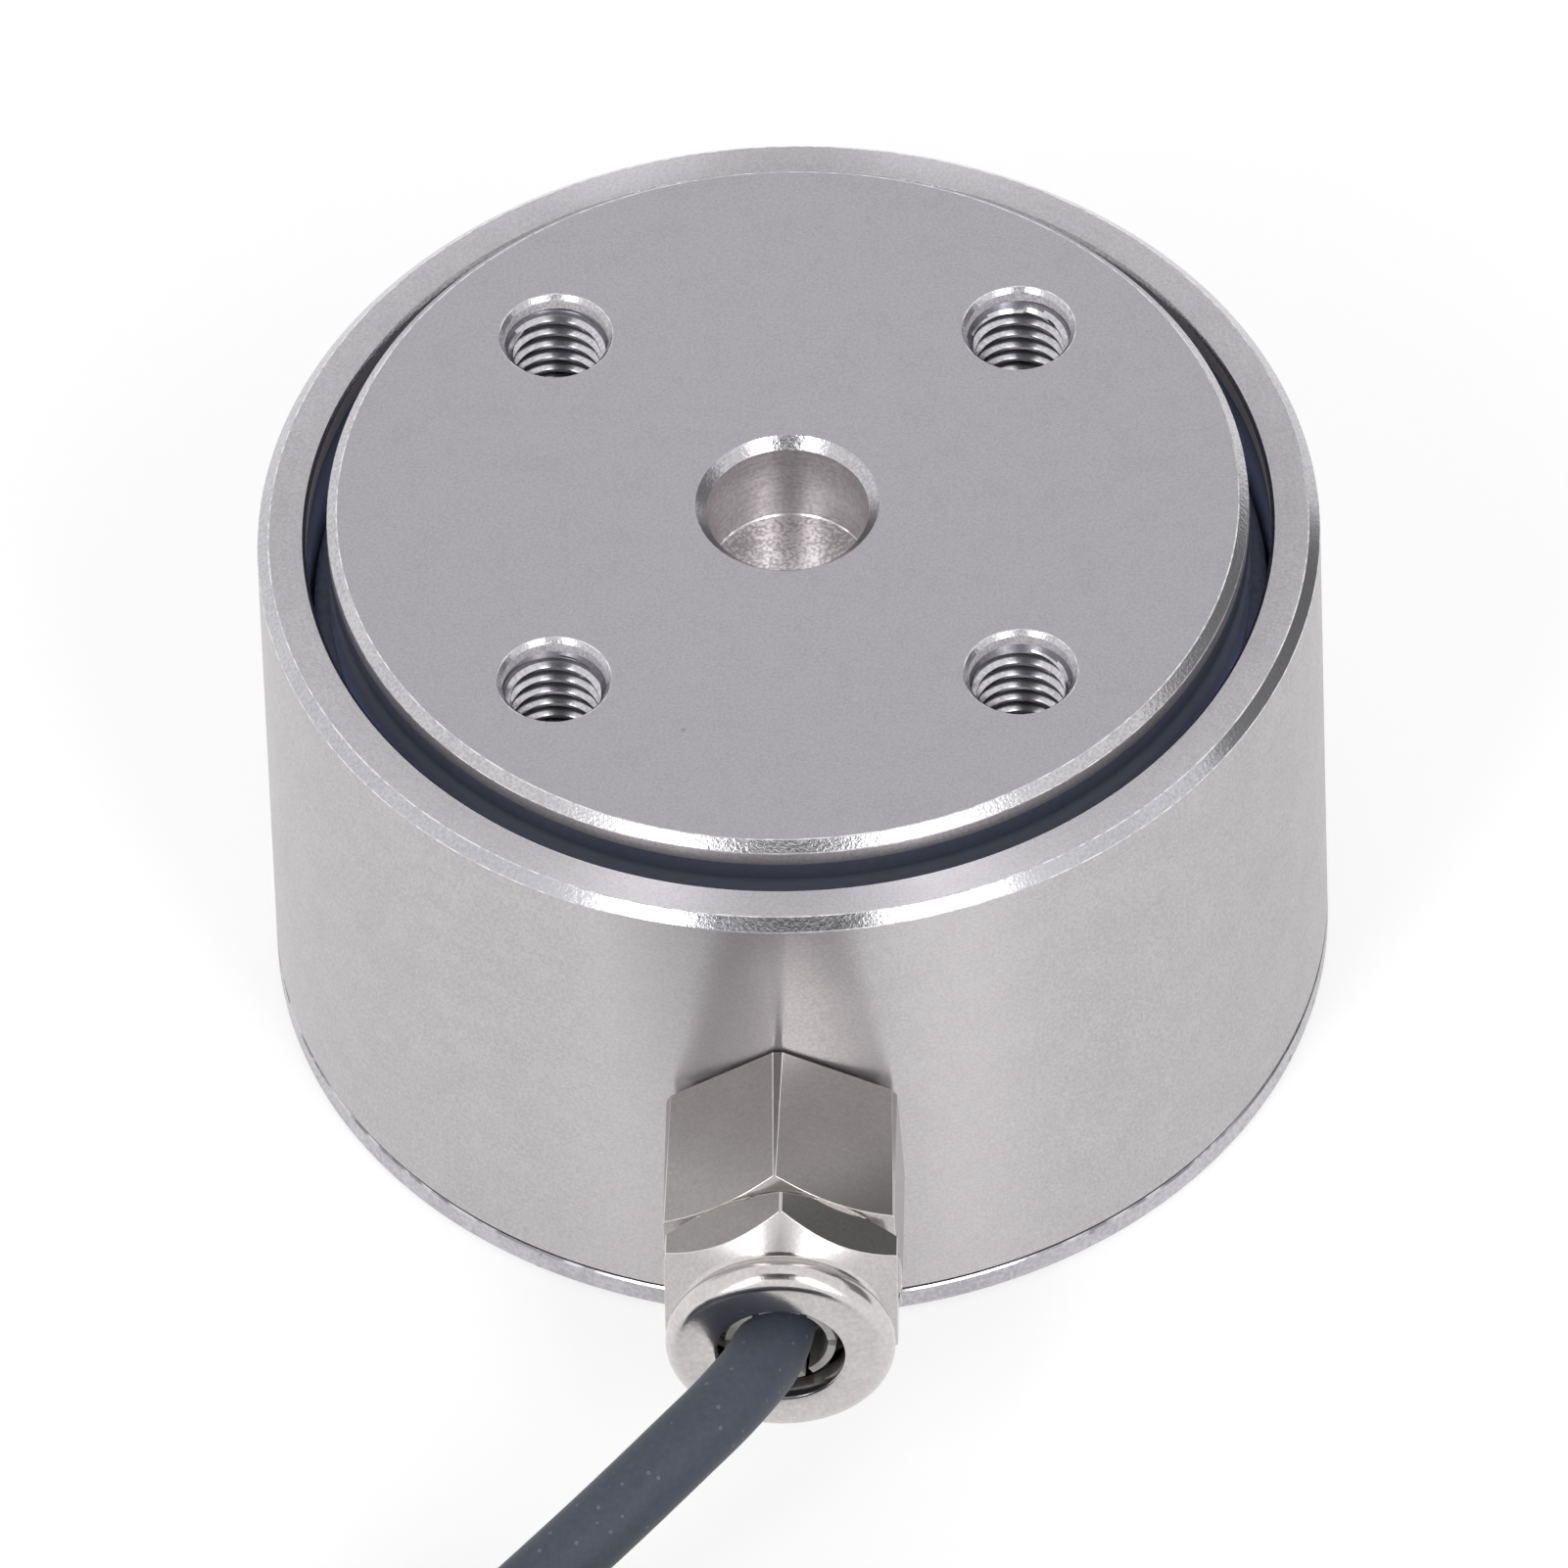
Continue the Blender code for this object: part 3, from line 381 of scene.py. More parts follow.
FINISHES = {finish.name: finish for finish in (
    Metal(
        "blasted_steel", (0.435, 0.425, 0.450), (0.380, 0.370, 0.396), 0.42, grain=0.6,
        grain_scale=7000.0, specks=0.5, bump=0.000002,
    ),
    Metal(
        "ring_face", (0.662, 0.642, 0.671), (0.573, 0.553, 0.582), 0.50, grain=0.55,
        grain_scale=6500.0, lines=0.12, line_fineness=12000.0, anisotropy=0.93,
    ),
    Metal(
        "turned_wall", (0.555, 0.536, 0.547), (0.470, 0.451, 0.463), 0.33, grain=0.65,
        grain_scale=5500.0, cloud=0.22, lines=0.15, line_fineness=16000.0, anisotropy=0.9,
    ),
    Metal(
        "cut_edge", (0.60, 0.59, 0.61), (0.46, 0.45, 0.47), 0.20, lines=0.3,
        line_fineness=12000.0, line_break=150.0, grain=0.8, grain_scale=5000.0, bump=0.000005,
    ),
    Metal(
        "ring_edge", (0.58, 0.575, 0.60), (0.46, 0.455, 0.48), 0.16, lines=0.25,
        line_fineness=12000.0, line_break=150.0, grain=0.6, grain_scale=5000.0, bump=0.000003,
    ),
    # Thin strips in a bright colour along edges: a painted highlight.
    Metal(
        "edge_line", (0.86, 0.85, 0.86), (0.56, 0.55, 0.57), 0.26, grain=1.2, grain_scale=1500.0,
    ),
    Metal(
        "lip_edge", (0.62, 0.61, 0.63), (0.26, 0.25, 0.27), 0.24, grain=1.8, grain_scale=500.0,
    ),
    # The ring bore's colour is raised so its strip below the edge reads light against the gap's
    # dark reflection: painted light.
    Metal(
        "ring_bore", (0.84, 0.77, 0.72), (0.70, 0.64, 0.60), 0.62, lines=0.4, grain=0.3,
        grain_scale=5000.0,
    ),
    # Dark colour for the thread's flanks and roots: painted shade.
    Metal(
        "thread_root", (0.20, 0.195, 0.22), (0.13, 0.125, 0.14), 0.34, grain=0.4,
        grain_scale=4000.0,
    ),
    Metal(
        "turned_lip", (0.57, 0.555, 0.58), (0.44, 0.43, 0.45), 0.34, grain=0.7,
        grain_scale=3500.0, cloud=0.6, lines=0.3, line_fineness=14000.0, specks=0.7,
        speck_scale=900.0, speck_size=0.2, bump=0.000003,
    ),
    Metal(
        "bored_steel", (0.715, 0.69, 0.695), (0.53, 0.51, 0.515), 0.36, lines=0.25,
        line_break=90.0, grain=0.5, grain_scale=4000.0, cloud=0.5,
    ),
    Metal(
        "drilled_floor", (0.72, 0.69, 0.70), (0.42, 0.40, 0.41), 0.36, grain=1.1,
        grain_scale=4500.0, cloud=0.6, lines=0.15, bump=0.000006,
    ),
    # The collar is rough drilled steel; its very light colour is painted light that lifts it out
    # of the hole's shade.
    Metal(
        "drilled_collar", (0.94, 0.92, 0.94), (0.66, 0.64, 0.67), 0.72, grain=0.9,
        grain_scale=5200.0, cloud=0.5, bump=0.000010,
    ),
    Metal(
        "tapped_steel", (0.66, 0.65, 0.68), (0.48, 0.47, 0.50), 0.20, lines=0.3,
        line_break=90.0, grain=0.4, grain_scale=4000.0,
    ),
    Metal(
        "nickel", (0.51, 0.485, 0.480), (0.40, 0.378, 0.372), 0.20, grain=0.3,
        grain_scale=4200.0, cloud=0.5, scratches=0.45, bump=0.000001,
    ),
    Metal(
        "polished_nickel", (0.68, 0.655, 0.65), (0.56, 0.535, 0.53), 0.17, grain=0.4,
        grain_scale=3200.0, cloud=0.6, bump=0.000002,
    ),
    Metal(
        "nut_flat", (0.44, 0.42, 0.415), (0.35, 0.33, 0.325), 0.19, grain=0.3,
        grain_scale=4200.0, cloud=0.5, scratches=0.3, bump=0.000001,
    ),
    Metal(
        "nut_cone", (0.57, 0.548, 0.544), (0.46, 0.44, 0.436), 0.33, grain=0.5,
        grain_scale=5000.0, cloud=0.4, bump=0.000002,
    ),
    # Rounded gland edges: the rounding is real, their brighter colour is a painted highlight.
    Metal("nickel_painted_highlight", (0.80, 0.78, 0.77), (0.70, 0.68, 0.67), 0.12, grain=0.2),
    Moulded("black_rubber", (0.028, 0.031, 0.044), 0.62, mottle=0.25),
    # Dark blue on the walls of the gap round the head: painted shade, turning lighter lower down
    # as painted light.
    Moulded(
        "gap_film", (0.034, 0.038, 0.060), 0.60, mottle=0.12, deep=(0.72, 0.76, 0.96),
        deep_from=0.0330, deep_to=0.0295,
    ),
    # The gap seal's rubber, much lighter than black rubber: painted light deep in the gap.
    Moulded("gap_rubber_painted_light", (0.28, 0.30, 0.40), 0.62),
    Moulded("nylon", (0.55, 0.54, 0.52), 0.32, transmission=0.25),
    Moulded("gauge_film", (0.75, 0.45, 0.12), 0.35),
    Moulded("board_green", (0.03, 0.20, 0.09), 0.40),
    Moulded("resistor_blue", (0.05, 0.12, 0.30), 0.35),
    Moulded("cable_jacket", (0.050, 0.058, 0.082), 0.62, specular=0.4, dust=0.25, sheen=0.15),
    Moulded("tie_black", (0.018, 0.018, 0.020), 0.42),
    *(Moulded(f"wire_{name}", colour, 0.35) for name, colour in WIRES.items()),
)}


@cache
def paint(name: str) -> bpy.types.Material:
    """The material of a named finish, made once."""
    return FINISHES[name].make()


# Surfaces on grids


def placed(name: str, data: bpy.types.ID) -> bpy.types.Object:
    """Puts a new object with its data in the scene."""
    made = bpy.data.objects.new(name, data)
    bpy.context.scene.collection.objects.link(made)
    return made


class Shell:
    """Gathers grids of points into one closed surface."""

    def __init__(self, *finishes: str) -> None:
        """Starts with no grids, and the finishes that its faces can have."""
        self.finishes = finishes
        self.points: list[np.ndarray] = []
        self.quads: list[np.ndarray] = []
        self.marks: list[np.ndarray] = []
        self.count = 0

    def grid(self, points: np.ndarray, finish: str | list | np.ndarray | None = None) -> None:
        """Adds one grid of points, joined row to row and column to column.

        Args:
            points: an array of rows, columns and the three coordinates.
            finish: the finish of all its faces, of each gap between rows, or of each
                face. Left out, it is the first of the shell's finishes.
        """
        rows, columns = points.shape[:2]
        index = self.count + np.arange(rows * columns).reshape(rows, columns)
        quads = np.stack(
            [index[:-1, :-1], index[1:, :-1], index[1:, 1:], index[:-1, 1:]], axis=-1
        )
        marks = np.vectorize(self.finishes.index)(self.finishes[0] if finish is None else finish)
        marks = marks[:, None] if marks.ndim == 1 else marks
        self.points.append(points.reshape(-1, 3))
        self.quads.append(quads.reshape(-1, 4))
        self.marks.append(np.broadcast_to(marks, quads.shape[:2]).reshape(-1))
        self.count += rows * columns

    def move(self, matrix: np.ndarray, shift: tuple[float, float, float]) -> None:
        """Turns and shifts everything gathered so far."""
        self.points = [p @ matrix.T + np.asarray(shift) for p in self.points]

    def join(self, other: "Shell") -> None:
        """Takes in the grids of another shell with the same finishes."""
        self.points += other.points
        self.quads += [quads + self.count for quads in other.quads]
        self.marks += other.marks
        self.count += other.count

    def piece(self, name: str, sharp: float = 28.0) -> bpy.types.Object:
        """Makes the gathered grids one object with its faces pointing out.

        Args:
            name: the object's name.
            sharp: the angle in degrees past which an edge stays sharp.

        Returns:
            The object, with its doubles merged.
        """
        mesh = bpy.data.meshes.new(name)
        points = np.concatenate(self.points)
        quads = np.concatenate(self.quads)
        mesh.from_pydata(points.tolist(), [], quads.tolist())
        mesh.polygons.foreach_set("material_index", np.concatenate(self.marks).astype(np.int32))
        for finish in self.finishes:
            mesh.materials.append(paint(finish))
        shape = bmesh.new()
        shape.from_mesh(mesh)
        bmesh.ops.remove_doubles(shape, verts=shape.verts, dist=MERGE)
        bmesh.ops.recalc_face_normals(shape, faces=shape.faces)
        shape.to_mesh(mesh)
        shape.free()
        mesh.shade_smooth()
        mesh.set_sharp_from_angle(angle=math.radians(sharp))
        return placed(name, mesh)


def arc_rows(centre: tuple[float, float], radius: float, start: float, end: float, count: int):
    """Points on a circle in the profile's plane.

    Each is the centre plus the radius times the cosine and sine of an even step of the
    angle, from start to end in degrees.
    """
    angle = np.radians(np.linspace(start, end, count))
    return np.stack([centre[0] + radius * np.cos(angle), centre[1] + radius * np.sin(angle)], -1)


def rows(*stretches) -> np.ndarray:
    """Joins single (radius, height) points and arrays of them into one profile."""
    return np.concatenate([np.atleast_2d(np.asarray(s, dtype=float)) for s in stretches])


def turned(profile: np.ndarray, angles: np.ndarray) -> np.ndarray:
    """Carries a profile round the Z axis.

    A point at radius r, height z and angle a stands at (r cos a, r sin a, z).
    """
    radius, height = profile[:, 0, None], profile[:, 1, None]
    x = radius * np.cos(angles)
    y = radius * np.sin(angles)
    return np.stack([x, y, np.broadcast_to(height, x.shape)], -1)


def full_turn(count: int, start: float = 0.0) -> np.ndarray:
    """Even angles round a circle, the first one repeated at the end."""
    return start + np.linspace(0.0, TAU, count + 1)


def on_circle(radius: float, angles: np.ndarray) -> np.ndarray:
    """Flat points on a circle, at the radius times the cosine and sine of each angle."""
    return radius * np.stack([np.cos(angles), np.sin(angles)], -1)


def dress(piece: bpy.types.Object, slot: Slot, *nodes: str) -> bpy.types.Object:
    """Lets a piece ride on the part in its nodes' place.

    Args:
        piece: the new piece.
        slot: the record's slot; not used.
        nodes: the nodes that it stands for.

    Returns:
        The piece.
    """
    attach(piece, ROOT)
    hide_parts(*nodes)
    LOG.info("%s: %d faces, replaces %s", piece.name, len(piece.data.polygons), ", ".join(nodes))
    return piece


# Drum

COLUMN_FINISHES = (
    "blasted_steel", "cut_edge", "bored_steel", "gap_film", "turned_lip", "lip_edge",
    "tapped_steel", "thread_root", "edge_line", "drilled_collar", "drilled_floor",
)


@dataclass
class TappedHole:
    """A hole with a real helical thread that winds down from a plain mouth."""

    mouth: float = 0.00325
    line: float = 0.00006
    collar: float = 0.00296
    collar_end: float = 0.00095
    lead: float = 0.0003
    core: float = 0.00248
    major: float = 0.00302
    pitch: float = 0.0010
    root_land: float = 0.125
    crest_land: float = 0.75
    shade_from: float = 0.05
    shade_to: float = 0.68
    depth: float = 0.0085
    rows_per_turn: int = 10
    tip_angle: float = math.radians(59.0)

    def thread_radius(self, phase: np.ndarray) -> np.ndarray:
        """The thread's section: a crest land, two straight flanks and a root land.

        The phase runs from 0 to 1 over one pitch. Its distance from the middle of the
        root, doubled, is 0 there and 1 at the crest's middle, and the radius falls in
        a straight line between the two lands.
        """
        away = 2.0 * np.abs(phase % 1.0 - 0.5)
        fall = np.clip((away - self.root_land) / (self.crest_land - self.root_land), 0.0, 1.0)
        return self.major + (self.core - self.major) * fall

    def envelope(self, depth: np.ndarray) -> np.ndarray:
        """The plain bore's radius: the collar, then a 45 degree lead down to the core."""
        lead = self.collar - (depth - self.collar_end)
        return np.clip(lead, self.core, self.collar)

    def wall(self, centre: tuple[float, float], angles: np.ndarray) -> Shell:
        """Builds the hole's wall under a face at height 0.

        A row of the thread sinks by one pitch for each turn, so every row keeps its
        phase. Depths are held between the collar's end and the thread's end, where all
        rows run together.

        Args:
            centre: the hole's place.
            angles: the columns' angles, over one full turn.

        Returns:
            The wall from the mouth's edge to the drilled tip.
        """
        mouth = rows(
            (self.mouth, 0.0),
            (self.mouth - self.line, -self.line / 2),
            (self.collar, self.collar - self.mouth),
            (self.collar, -self.collar_end),
        )
        start, end = self.collar_end, self.depth
        turns = math.ceil((end - start) / self.pitch) + 1
        step = np.arange(turns * self.rows_per_turn + 1)[:, None] / self.rows_per_turn
        share = (angles - angles[0])[None, :] / TAU
        depth = np.clip(start + self.pitch * (step - share), start, end)
        radius = np.maximum(self.envelope(depth), self.thread_radius(step))
        radius = np.where(depth <= start, self.collar, radius)
        radius = np.where(depth >= end, self.core, radius)
        thread = np.stack([radius * np.cos(angles), radius * np.sin(angles), -depth], -1)
        tip = end + self.core / math.tan(self.tip_angle)
        # Painted shade: the dark thread finish on the flanks and roots, and on the lead below the
        # collar.
        place = np.arange(len(thread) - 1) % self.rows_per_turn / self.rows_per_turn
        dark = ((place > self.shade_from) & (place < self.shade_to))[:, None]
        dark = dark | (depth[1:, 1:] < start + self.lead)
        # The mouth's edge takes a painted highlight strip; the collar's light colour is painted
        # light.
        grids = (
            (turned(mouth, angles), ["edge_line", "cut_edge", "drilled_collar"]),
            (thread, np.where(dark, "thread_root", "tapped_steel")),
            (turned(rows((self.core, -end), (0.0, -tip)), angles), "tapped_steel"),
        )
        shell = Shell(*COLUMN_FINISHES)
        for grid, finish in grids:
            shell.grid(grid + np.array([*centre, 0.0]), finish)
        return shell


@dataclass
class DrilledFace:
    """A flat round face with four tapped holes on a square round a middle circle.

    Each quadrant is a flat surface between the hole's circle and the quadrant's own
    edge, which runs out along one side, round the rim, in along the other side and
    back round the middle circle.
    """

    rim: float
    middle: float
    spacing: float
    turn: float
    hole: TappedHole
    side_steps: int = 24
    rim_steps: int = 60
    middle_steps: int = 12

    def columns(self) -> np.ndarray:
        """The rim's angles over one full turn."""
        return full_turn(4 * self.rim_steps, self.turn)

    def middle_columns(self) -> np.ndarray:
        """The middle circle's angles over one full turn."""
        return full_turn(4 * self.middle_steps, self.turn)

    def quadrant_edge(self) -> np.ndarray:
        """The first quadrant's edge, starting where its first side leaves the middle."""
        side = np.linspace(self.middle, self.rim, self.side_steps + 1)[:-1]
        out = np.stack([side, np.zeros_like(side)], -1)
        rim = on_circle(self.rim, np.linspace(0.0, TAU / 4, self.rim_steps + 1)[:-1])
        back = np.linspace(self.rim, self.middle, self.side_steps + 1)[:-1]
        home = np.stack([np.zeros_like(back), back], -1)
        middle = on_circle(self.middle, np.linspace(TAU / 4, 0.0, self.middle_steps + 1))
        return np.concatenate([out, rim, home, middle])

    def shell(self) -> Shell:
        """Builds the face at height 0 with its four holes below it.

        Returns:
            The four quadrants and the holes' walls.
        """
        shell = Shell(*COLUMN_FINISHES)
        edge = self.quadrant_edge()
        half = self.spacing / 2
        first = edge[0] - np.array([half, half])
        start = math.atan2(first[1], first[0])
        for quarter in range(4):
            swing = self.turn + quarter * TAU / 4
            c, s = math.cos(swing), math.sin(swing)
            rotate = np.array([[c, -s], [s, c]])
            centre = rotate @ np.array([half, half])
            angles = full_turn(len(edge) - 1, start + swing)
            face = np.stack([centre + on_circle(self.hole.mouth, angles), edge @ rotate.T])
            shell.grid(np.concatenate([face, np.zeros((*face.shape[:2], 1))], -1))
            shell.join(self.hole.wall((centre[0], centre[1]), angles))
        return shell


@dataclass
class LoadColumn:
    """The one turned piece: base lip, register, gauged column and loading head."""

    pattern_turn: float = math.radians(1.1)
    tap_spacing: float = 0.0262
    head_gap: float = 0.00123
    head_edge: float = 0.00056
    head_under_edge: float = 0.0006
    head_thickness: float = 0.0110
    groove_depth: float = 0.0014
    lip_height: float = 0.00165
    lip_edge: float = 0.0003
    seam_edge: float = 0.00010
    register_height: float = 0.0060
    register_edge: float = 0.0004
    column: float = 0.0100
    fillet: float = 0.0030
    flat: float = 0.0080
    pilot: float = 0.0046
    pilot_mouth: float = 0.0052
    pilot_depth: float = 0.0060
    pilot_corner: float = 0.00008
    seal_clearance: float = 0.0003
    side_above_shade: float = 0.0009
    line: float = 0.00005
    base_groove_depth: float = 0.0018
    base_groove_half: float = 0.0011
    base_seal_height: float = 0.0032
    sharp: float = 15.0
    head_hole: TappedHole = field(default_factory=TappedHole)
    base_hole: TappedHole = field(
        default_factory=lambda: TappedHole(depth=0.0045, rows_per_turn=6)
    )

    def profile(self) -> np.ndarray:
        """The turned outline's (radius, height) rows from the head's rim to the base."""
        low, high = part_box("load_column")
        seal_low, seal_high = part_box("gap_seal")
        top, lip = high.z, high.x
        bore = seal_high.x + self.seal_clearance
        register = bore - self.seal_clearance
        head = bore - self.head_gap
        under = top - self.head_thickness
        step = self.lip_height + self.register_height
        flare = self.column + self.fillet
        groove_top = seal_high.z + self.seal_clearance
        groove_bottom = seal_low.z - self.seal_clearance
        root = head - self.groove_depth - self.seal_clearance
        base_groove = self.lip_height + self.base_seal_height
        half = self.base_groove_half
        middle_top = under - self.fillet
        middle_bottom = step + self.fillet
        return rows(
            (head - self.head_edge - self.line, top),
            (head - self.head_edge + self.line / 2, top - self.line / 2),
            (head - self.line / 2, top - self.head_edge + self.line / 2),
            (head, top - self.head_edge - self.line),
            (head, top - self.head_edge - self.side_above_shade),
            (head, groove_top),
            (root, groove_top),
            (root, groove_bottom),
            (head, groove_bottom),
            (head, under + self.head_under_edge),
            (head - self.head_under_edge, under),
            arc_rows((flare, middle_top), self.fillet, 90, 180, 9),
            (self.column, middle_top),
            (self.column, middle_bottom),
            arc_rows((flare, middle_bottom), self.fillet, 180, 270, 9),
            (register - self.register_edge, step),
            (register, step - self.register_edge),
            (register, base_groove + half),
            (register - self.base_groove_depth, base_groove + half),
            (register - self.base_groove_depth, base_groove - half),
            (register, base_groove - half),
            (register, self.lip_height),
            (lip - self.seam_edge, self.lip_height),
            (lip, self.lip_height - self.seam_edge),
            (lip, low.z + self.lip_edge),
            (lip - self.lip_edge, low.z),
        )

    def flatten(self, grid: np.ndarray, low: float, high: float) -> np.ndarray:
        """Cuts four flats into the column.

        Between the two heights a point's radius is held to the flat's distance divided
        by the cosine of its angle from the nearest flat's middle.
        """
        radius = np.hypot(grid[..., 0], grid[..., 1])
        angle = np.arctan2(grid[..., 1], grid[..., 0])
        from_flat = (angle + TAU / 8) % (TAU / 4) - TAU / 8
        limit = self.flat / np.cos(from_flat)
        inside = (grid[..., 2] >= low - MERGE) & (grid[..., 2] <= high + MERGE)
        inside &= radius < self.column + MERGE
        ratio = np.where(inside, np.minimum(1.0, limit / np.maximum(radius, MERGE)), 1.0)
        return grid * np.stack([ratio, ratio, np.ones_like(ratio)], -1)

    def build(self) -> bpy.types.Object:
        """Builds the column with its two drilled ends.

        Returns:
            The piece that stands for load_column.
        """
        outline = self.profile()
        low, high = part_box("load_column")
        top = DrilledFace(
            outline[0, 0], self.pilot_mouth, self.tap_spacing, self.pattern_turn, self.head_hole
        )
        shell = top.shell()
        pilot = rows(
            (self.pilot_mouth, 0.0),
            (self.pilot, self.pilot - self.pilot_mouth),
            (self.pilot, -self.pilot_depth + self.pilot_corner),
            (self.pilot - self.pilot_corner, -self.pilot_depth),
            (0.0, -self.pilot_depth),
        )
        # The pilot's bottom corner takes a painted highlight strip.
        finish = ["cut_edge", "bored_steel", "edge_line", "drilled_floor"]
        shell.grid(turned(pilot, top.middle_columns()), finish)
        shell.move(np.eye(3), (0.0, 0.0, high.z))

        base = DrilledFace(
            outline[-1, 0], self.pilot_mouth, self.tap_spacing, -self.pattern_turn, self.base_hole
        )
        under = base.shell()
        under.grid(turned(rows((self.pilot_mouth, 0.0), (0.0, 0.0)), base.middle_columns()))
        under.move(np.diag([1.0, -1.0, -1.0]), (0.0, 0.0, low.z))
        shell.join(under)

        finish = ["blasted_steel"] * (len(outline) - 1)
        # Painted highlight strips edge the head's chamfer.
        finish[:4] = ["edge_line", "cut_edge", "edge_line", "bored_steel"]
        # The head's side below its top band takes the gap's painted shade.
        finish[4:10] = ["gap_film"] * 6
        finish[-3:-1] = ["lip_edge", "turned_lip"]
        flat_low = self.lip_height + self.register_height + self.fillet
        flat_high = high.z - self.head_thickness - self.fillet
        shell.grid(self.flatten(turned(outline, top.columns()), flat_low, flat_high), finish)
        return dress(shell.piece("loading_column", self.sharp), Slot.STEEL, "load_column")


@dataclass
class HousingSleeve:
    """The drum's wall with its stepped port for the gland."""

    outer_edge: float = 0.00063
    inner_edge: float = 0.0002
    bore_above_shade: float = 0.0014
    line: float = 0.00005
    port: float = 0.00485
    port_seat: float = 0.00605
    port_seat_depth: float = 0.0013
    port_band: float = 0.0063
    port_over: float = 0.001
    seam_edge: float = 0.00008
    wall: float = 0.00275
    columns: int = 256
    port_columns: int = 72
    sharp: float = 15.0

    def build(self) -> bpy.types.Object:
        """Builds the turned wall and cuts the port.

        Returns:
            The piece that stands for housing_sleeve.
        """
        low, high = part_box("housing_sleeve")
        outer = high.x
        inner = outer - self.wall
        edge = self.outer_edge
        middle = gland_height()
        profile = rows(
            (inner, low.z),
            (inner, high.z - self.bore_above_shade),
            (inner, high.z - self.inner_edge),
            (inner + self.inner_edge, high.z),
            (outer - edge - self.line, high.z),
            (outer - edge + self.line / 2, high.z - self.line / 2),
            (outer - self.line / 2, high.z - edge + self.line / 2),
            (outer, high.z - edge - self.line),
            (outer, middle + self.port_band),
            (outer, middle - self.port_band),
            (outer, low.z + self.seam_edge),
            (outer - self.seam_edge, low.z),
            (inner, low.z),
        )
        # Painted shade on the bore below its top band; the band's colour is painted light, and
        # the top's edges are painted highlight strips.
        finish = ["gap_film", "ring_bore", "ring_edge", "ring_face"]
        finish += ["edge_line", "ring_edge", "edge_line"]
        finish += ["turned_wall"] * 3 + ["ring_edge", "ring_bore"]
        shell = Shell(
            "ring_face", "ring_edge", "ring_bore", "gap_film", "turned_wall", "edge_line"
        )
        shell.grid(turned(profile, full_turn(self.columns)), finish)
        piece = shell.piece("drum_wall", self.sharp)
        self.cut_port(piece, outer, inner)
        return dress(piece, Slot.TURNED_STEEL, "housing_sleeve")

    def cut_port(self, piece: bpy.types.Object, outer: float, inner: float) -> None:
        """Cuts the stepped port through the wall.

        Args:
            piece: the drum's wall.
            outer: the wall's outer radius.
            inner: the wall's inner radius.
        """
        over = self.port_over
        profile = rows(
            (0.0, outer + over),
            (self.port_seat, outer + over),
            (self.port_seat, outer - self.port_seat_depth),
            (self.port, outer - self.port_seat_depth),
            (self.port, inner - 2 * over),
            (0.0, inner - 2 * over),
        )
        cutter = Shell("bored_steel")
        cutter.grid(at_gland(turned(profile, full_turn(self.port_columns))))
        tool = cutter.piece("port_tool")
        step = piece.modifiers.new("port", "BOOLEAN")
        step.object = tool
        step.solver = "EXACT"
        graph = bpy.context.evaluated_depsgraph_get()
        mesh = bpy.data.meshes.new_from_object(piece.evaluated_get(graph))
        piece.modifiers.clear()
        mesh.shade_smooth()
        mesh.set_sharp_from_angle(angle=math.radians(self.sharp))
        piece.data = mesh
        bpy.data.objects.remove(tool, do_unlink=True)


def gland_height() -> float:
    """The gland's axis height: the middle of its nut."""
    low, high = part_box("gland_nut")
    return (low.z + high.z) / 2


def at_gland(grid: np.ndarray) -> np.ndarray:
    """Lays an upright grid along the gland's axis: its height becomes the way out."""
    return np.stack([grid[..., 0], -grid[..., 2], grid[..., 1] + gland_height()], -1)


@dataclass
class GapSeal:
    """The black ring deep in the gap round the head."""

    width: float = 0.0023
    lip: float = 0.00055
    columns: int = 192

    def build(self) -> bpy.types.Object:
        """Builds the turned ring.

        Returns:
            The piece that stands for gap_seal.
        """
        low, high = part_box("gap_seal")
        bore = high.x
        root = bore - self.width
        lip = self.lip
        profile = rows(
            (root, low.z),
            (root, high.z),
            arc_rows((bore - lip, high.z - lip), lip, 90, 0, 6),
            arc_rows((bore - lip, low.z + lip), lip, 0, -90, 6),
            (root, low.z),
        )
        # The rubber's lighter colour is painted light deep in the gap.
        shell = Shell("gap_rubber_painted_light")
        shell.grid(turned(profile, full_turn(self.columns)))
        return dress(shell.piece("gap_ring"), Slot.RUBBER, "gap_seal")


# Cable gland


@dataclass(frozen=True)
class HexSection:
    """A hexagon with its corners cut back to narrow lands."""

    flats: float
    turn: float
    flat_steps: int = 10

    def loop(self, land: float) -> tuple[np.ndarray, np.ndarray]:
        """The section's points for one width of land.

        Each side is a straight run at half the width across flats. It stops short of
        the corner by the land's width over twice the sine of 60 degrees.

        Args:
            land: the width of the cut at each corner.

        Returns:
            The points' distances from the axis and their angles, the first repeated.
        """
        apothem = self.flats / 2
        half = apothem * math.tan(math.pi / 6) - land / (2 * math.sin(math.pi / 3))
        along = np.linspace(-half, half, self.flat_steps + 1)
        radius = np.hypot(apothem, along)
        swing = np.arctan2(along, apothem)
        sides = self.turn + np.pi / 3 * np.arange(6)
        angles = (sides[:, None] + swing[None, :]).reshape(-1)
        radii = np.tile(radius, 6)
        return np.append(radii, radii[0]), np.append(angles, angles[0] + TAU)


def gland_grid(loops: list[tuple]) -> np.ndarray:
    """Stacks loops of radii, angles and distances out into a grid on the gland's axis.

    A point at radius r, angle a and distance out d stands at (r cos a, -d, r sin a)
    from the axis.
    """
    grid = []
    for loop in loops:
        radius, angle, out = np.broadcast_arrays(*loop)
        height = radius * np.sin(angle) + gland_height()
        grid.append(np.stack([radius * np.cos(angle), -out, height], -1))
    return np.stack(grid)


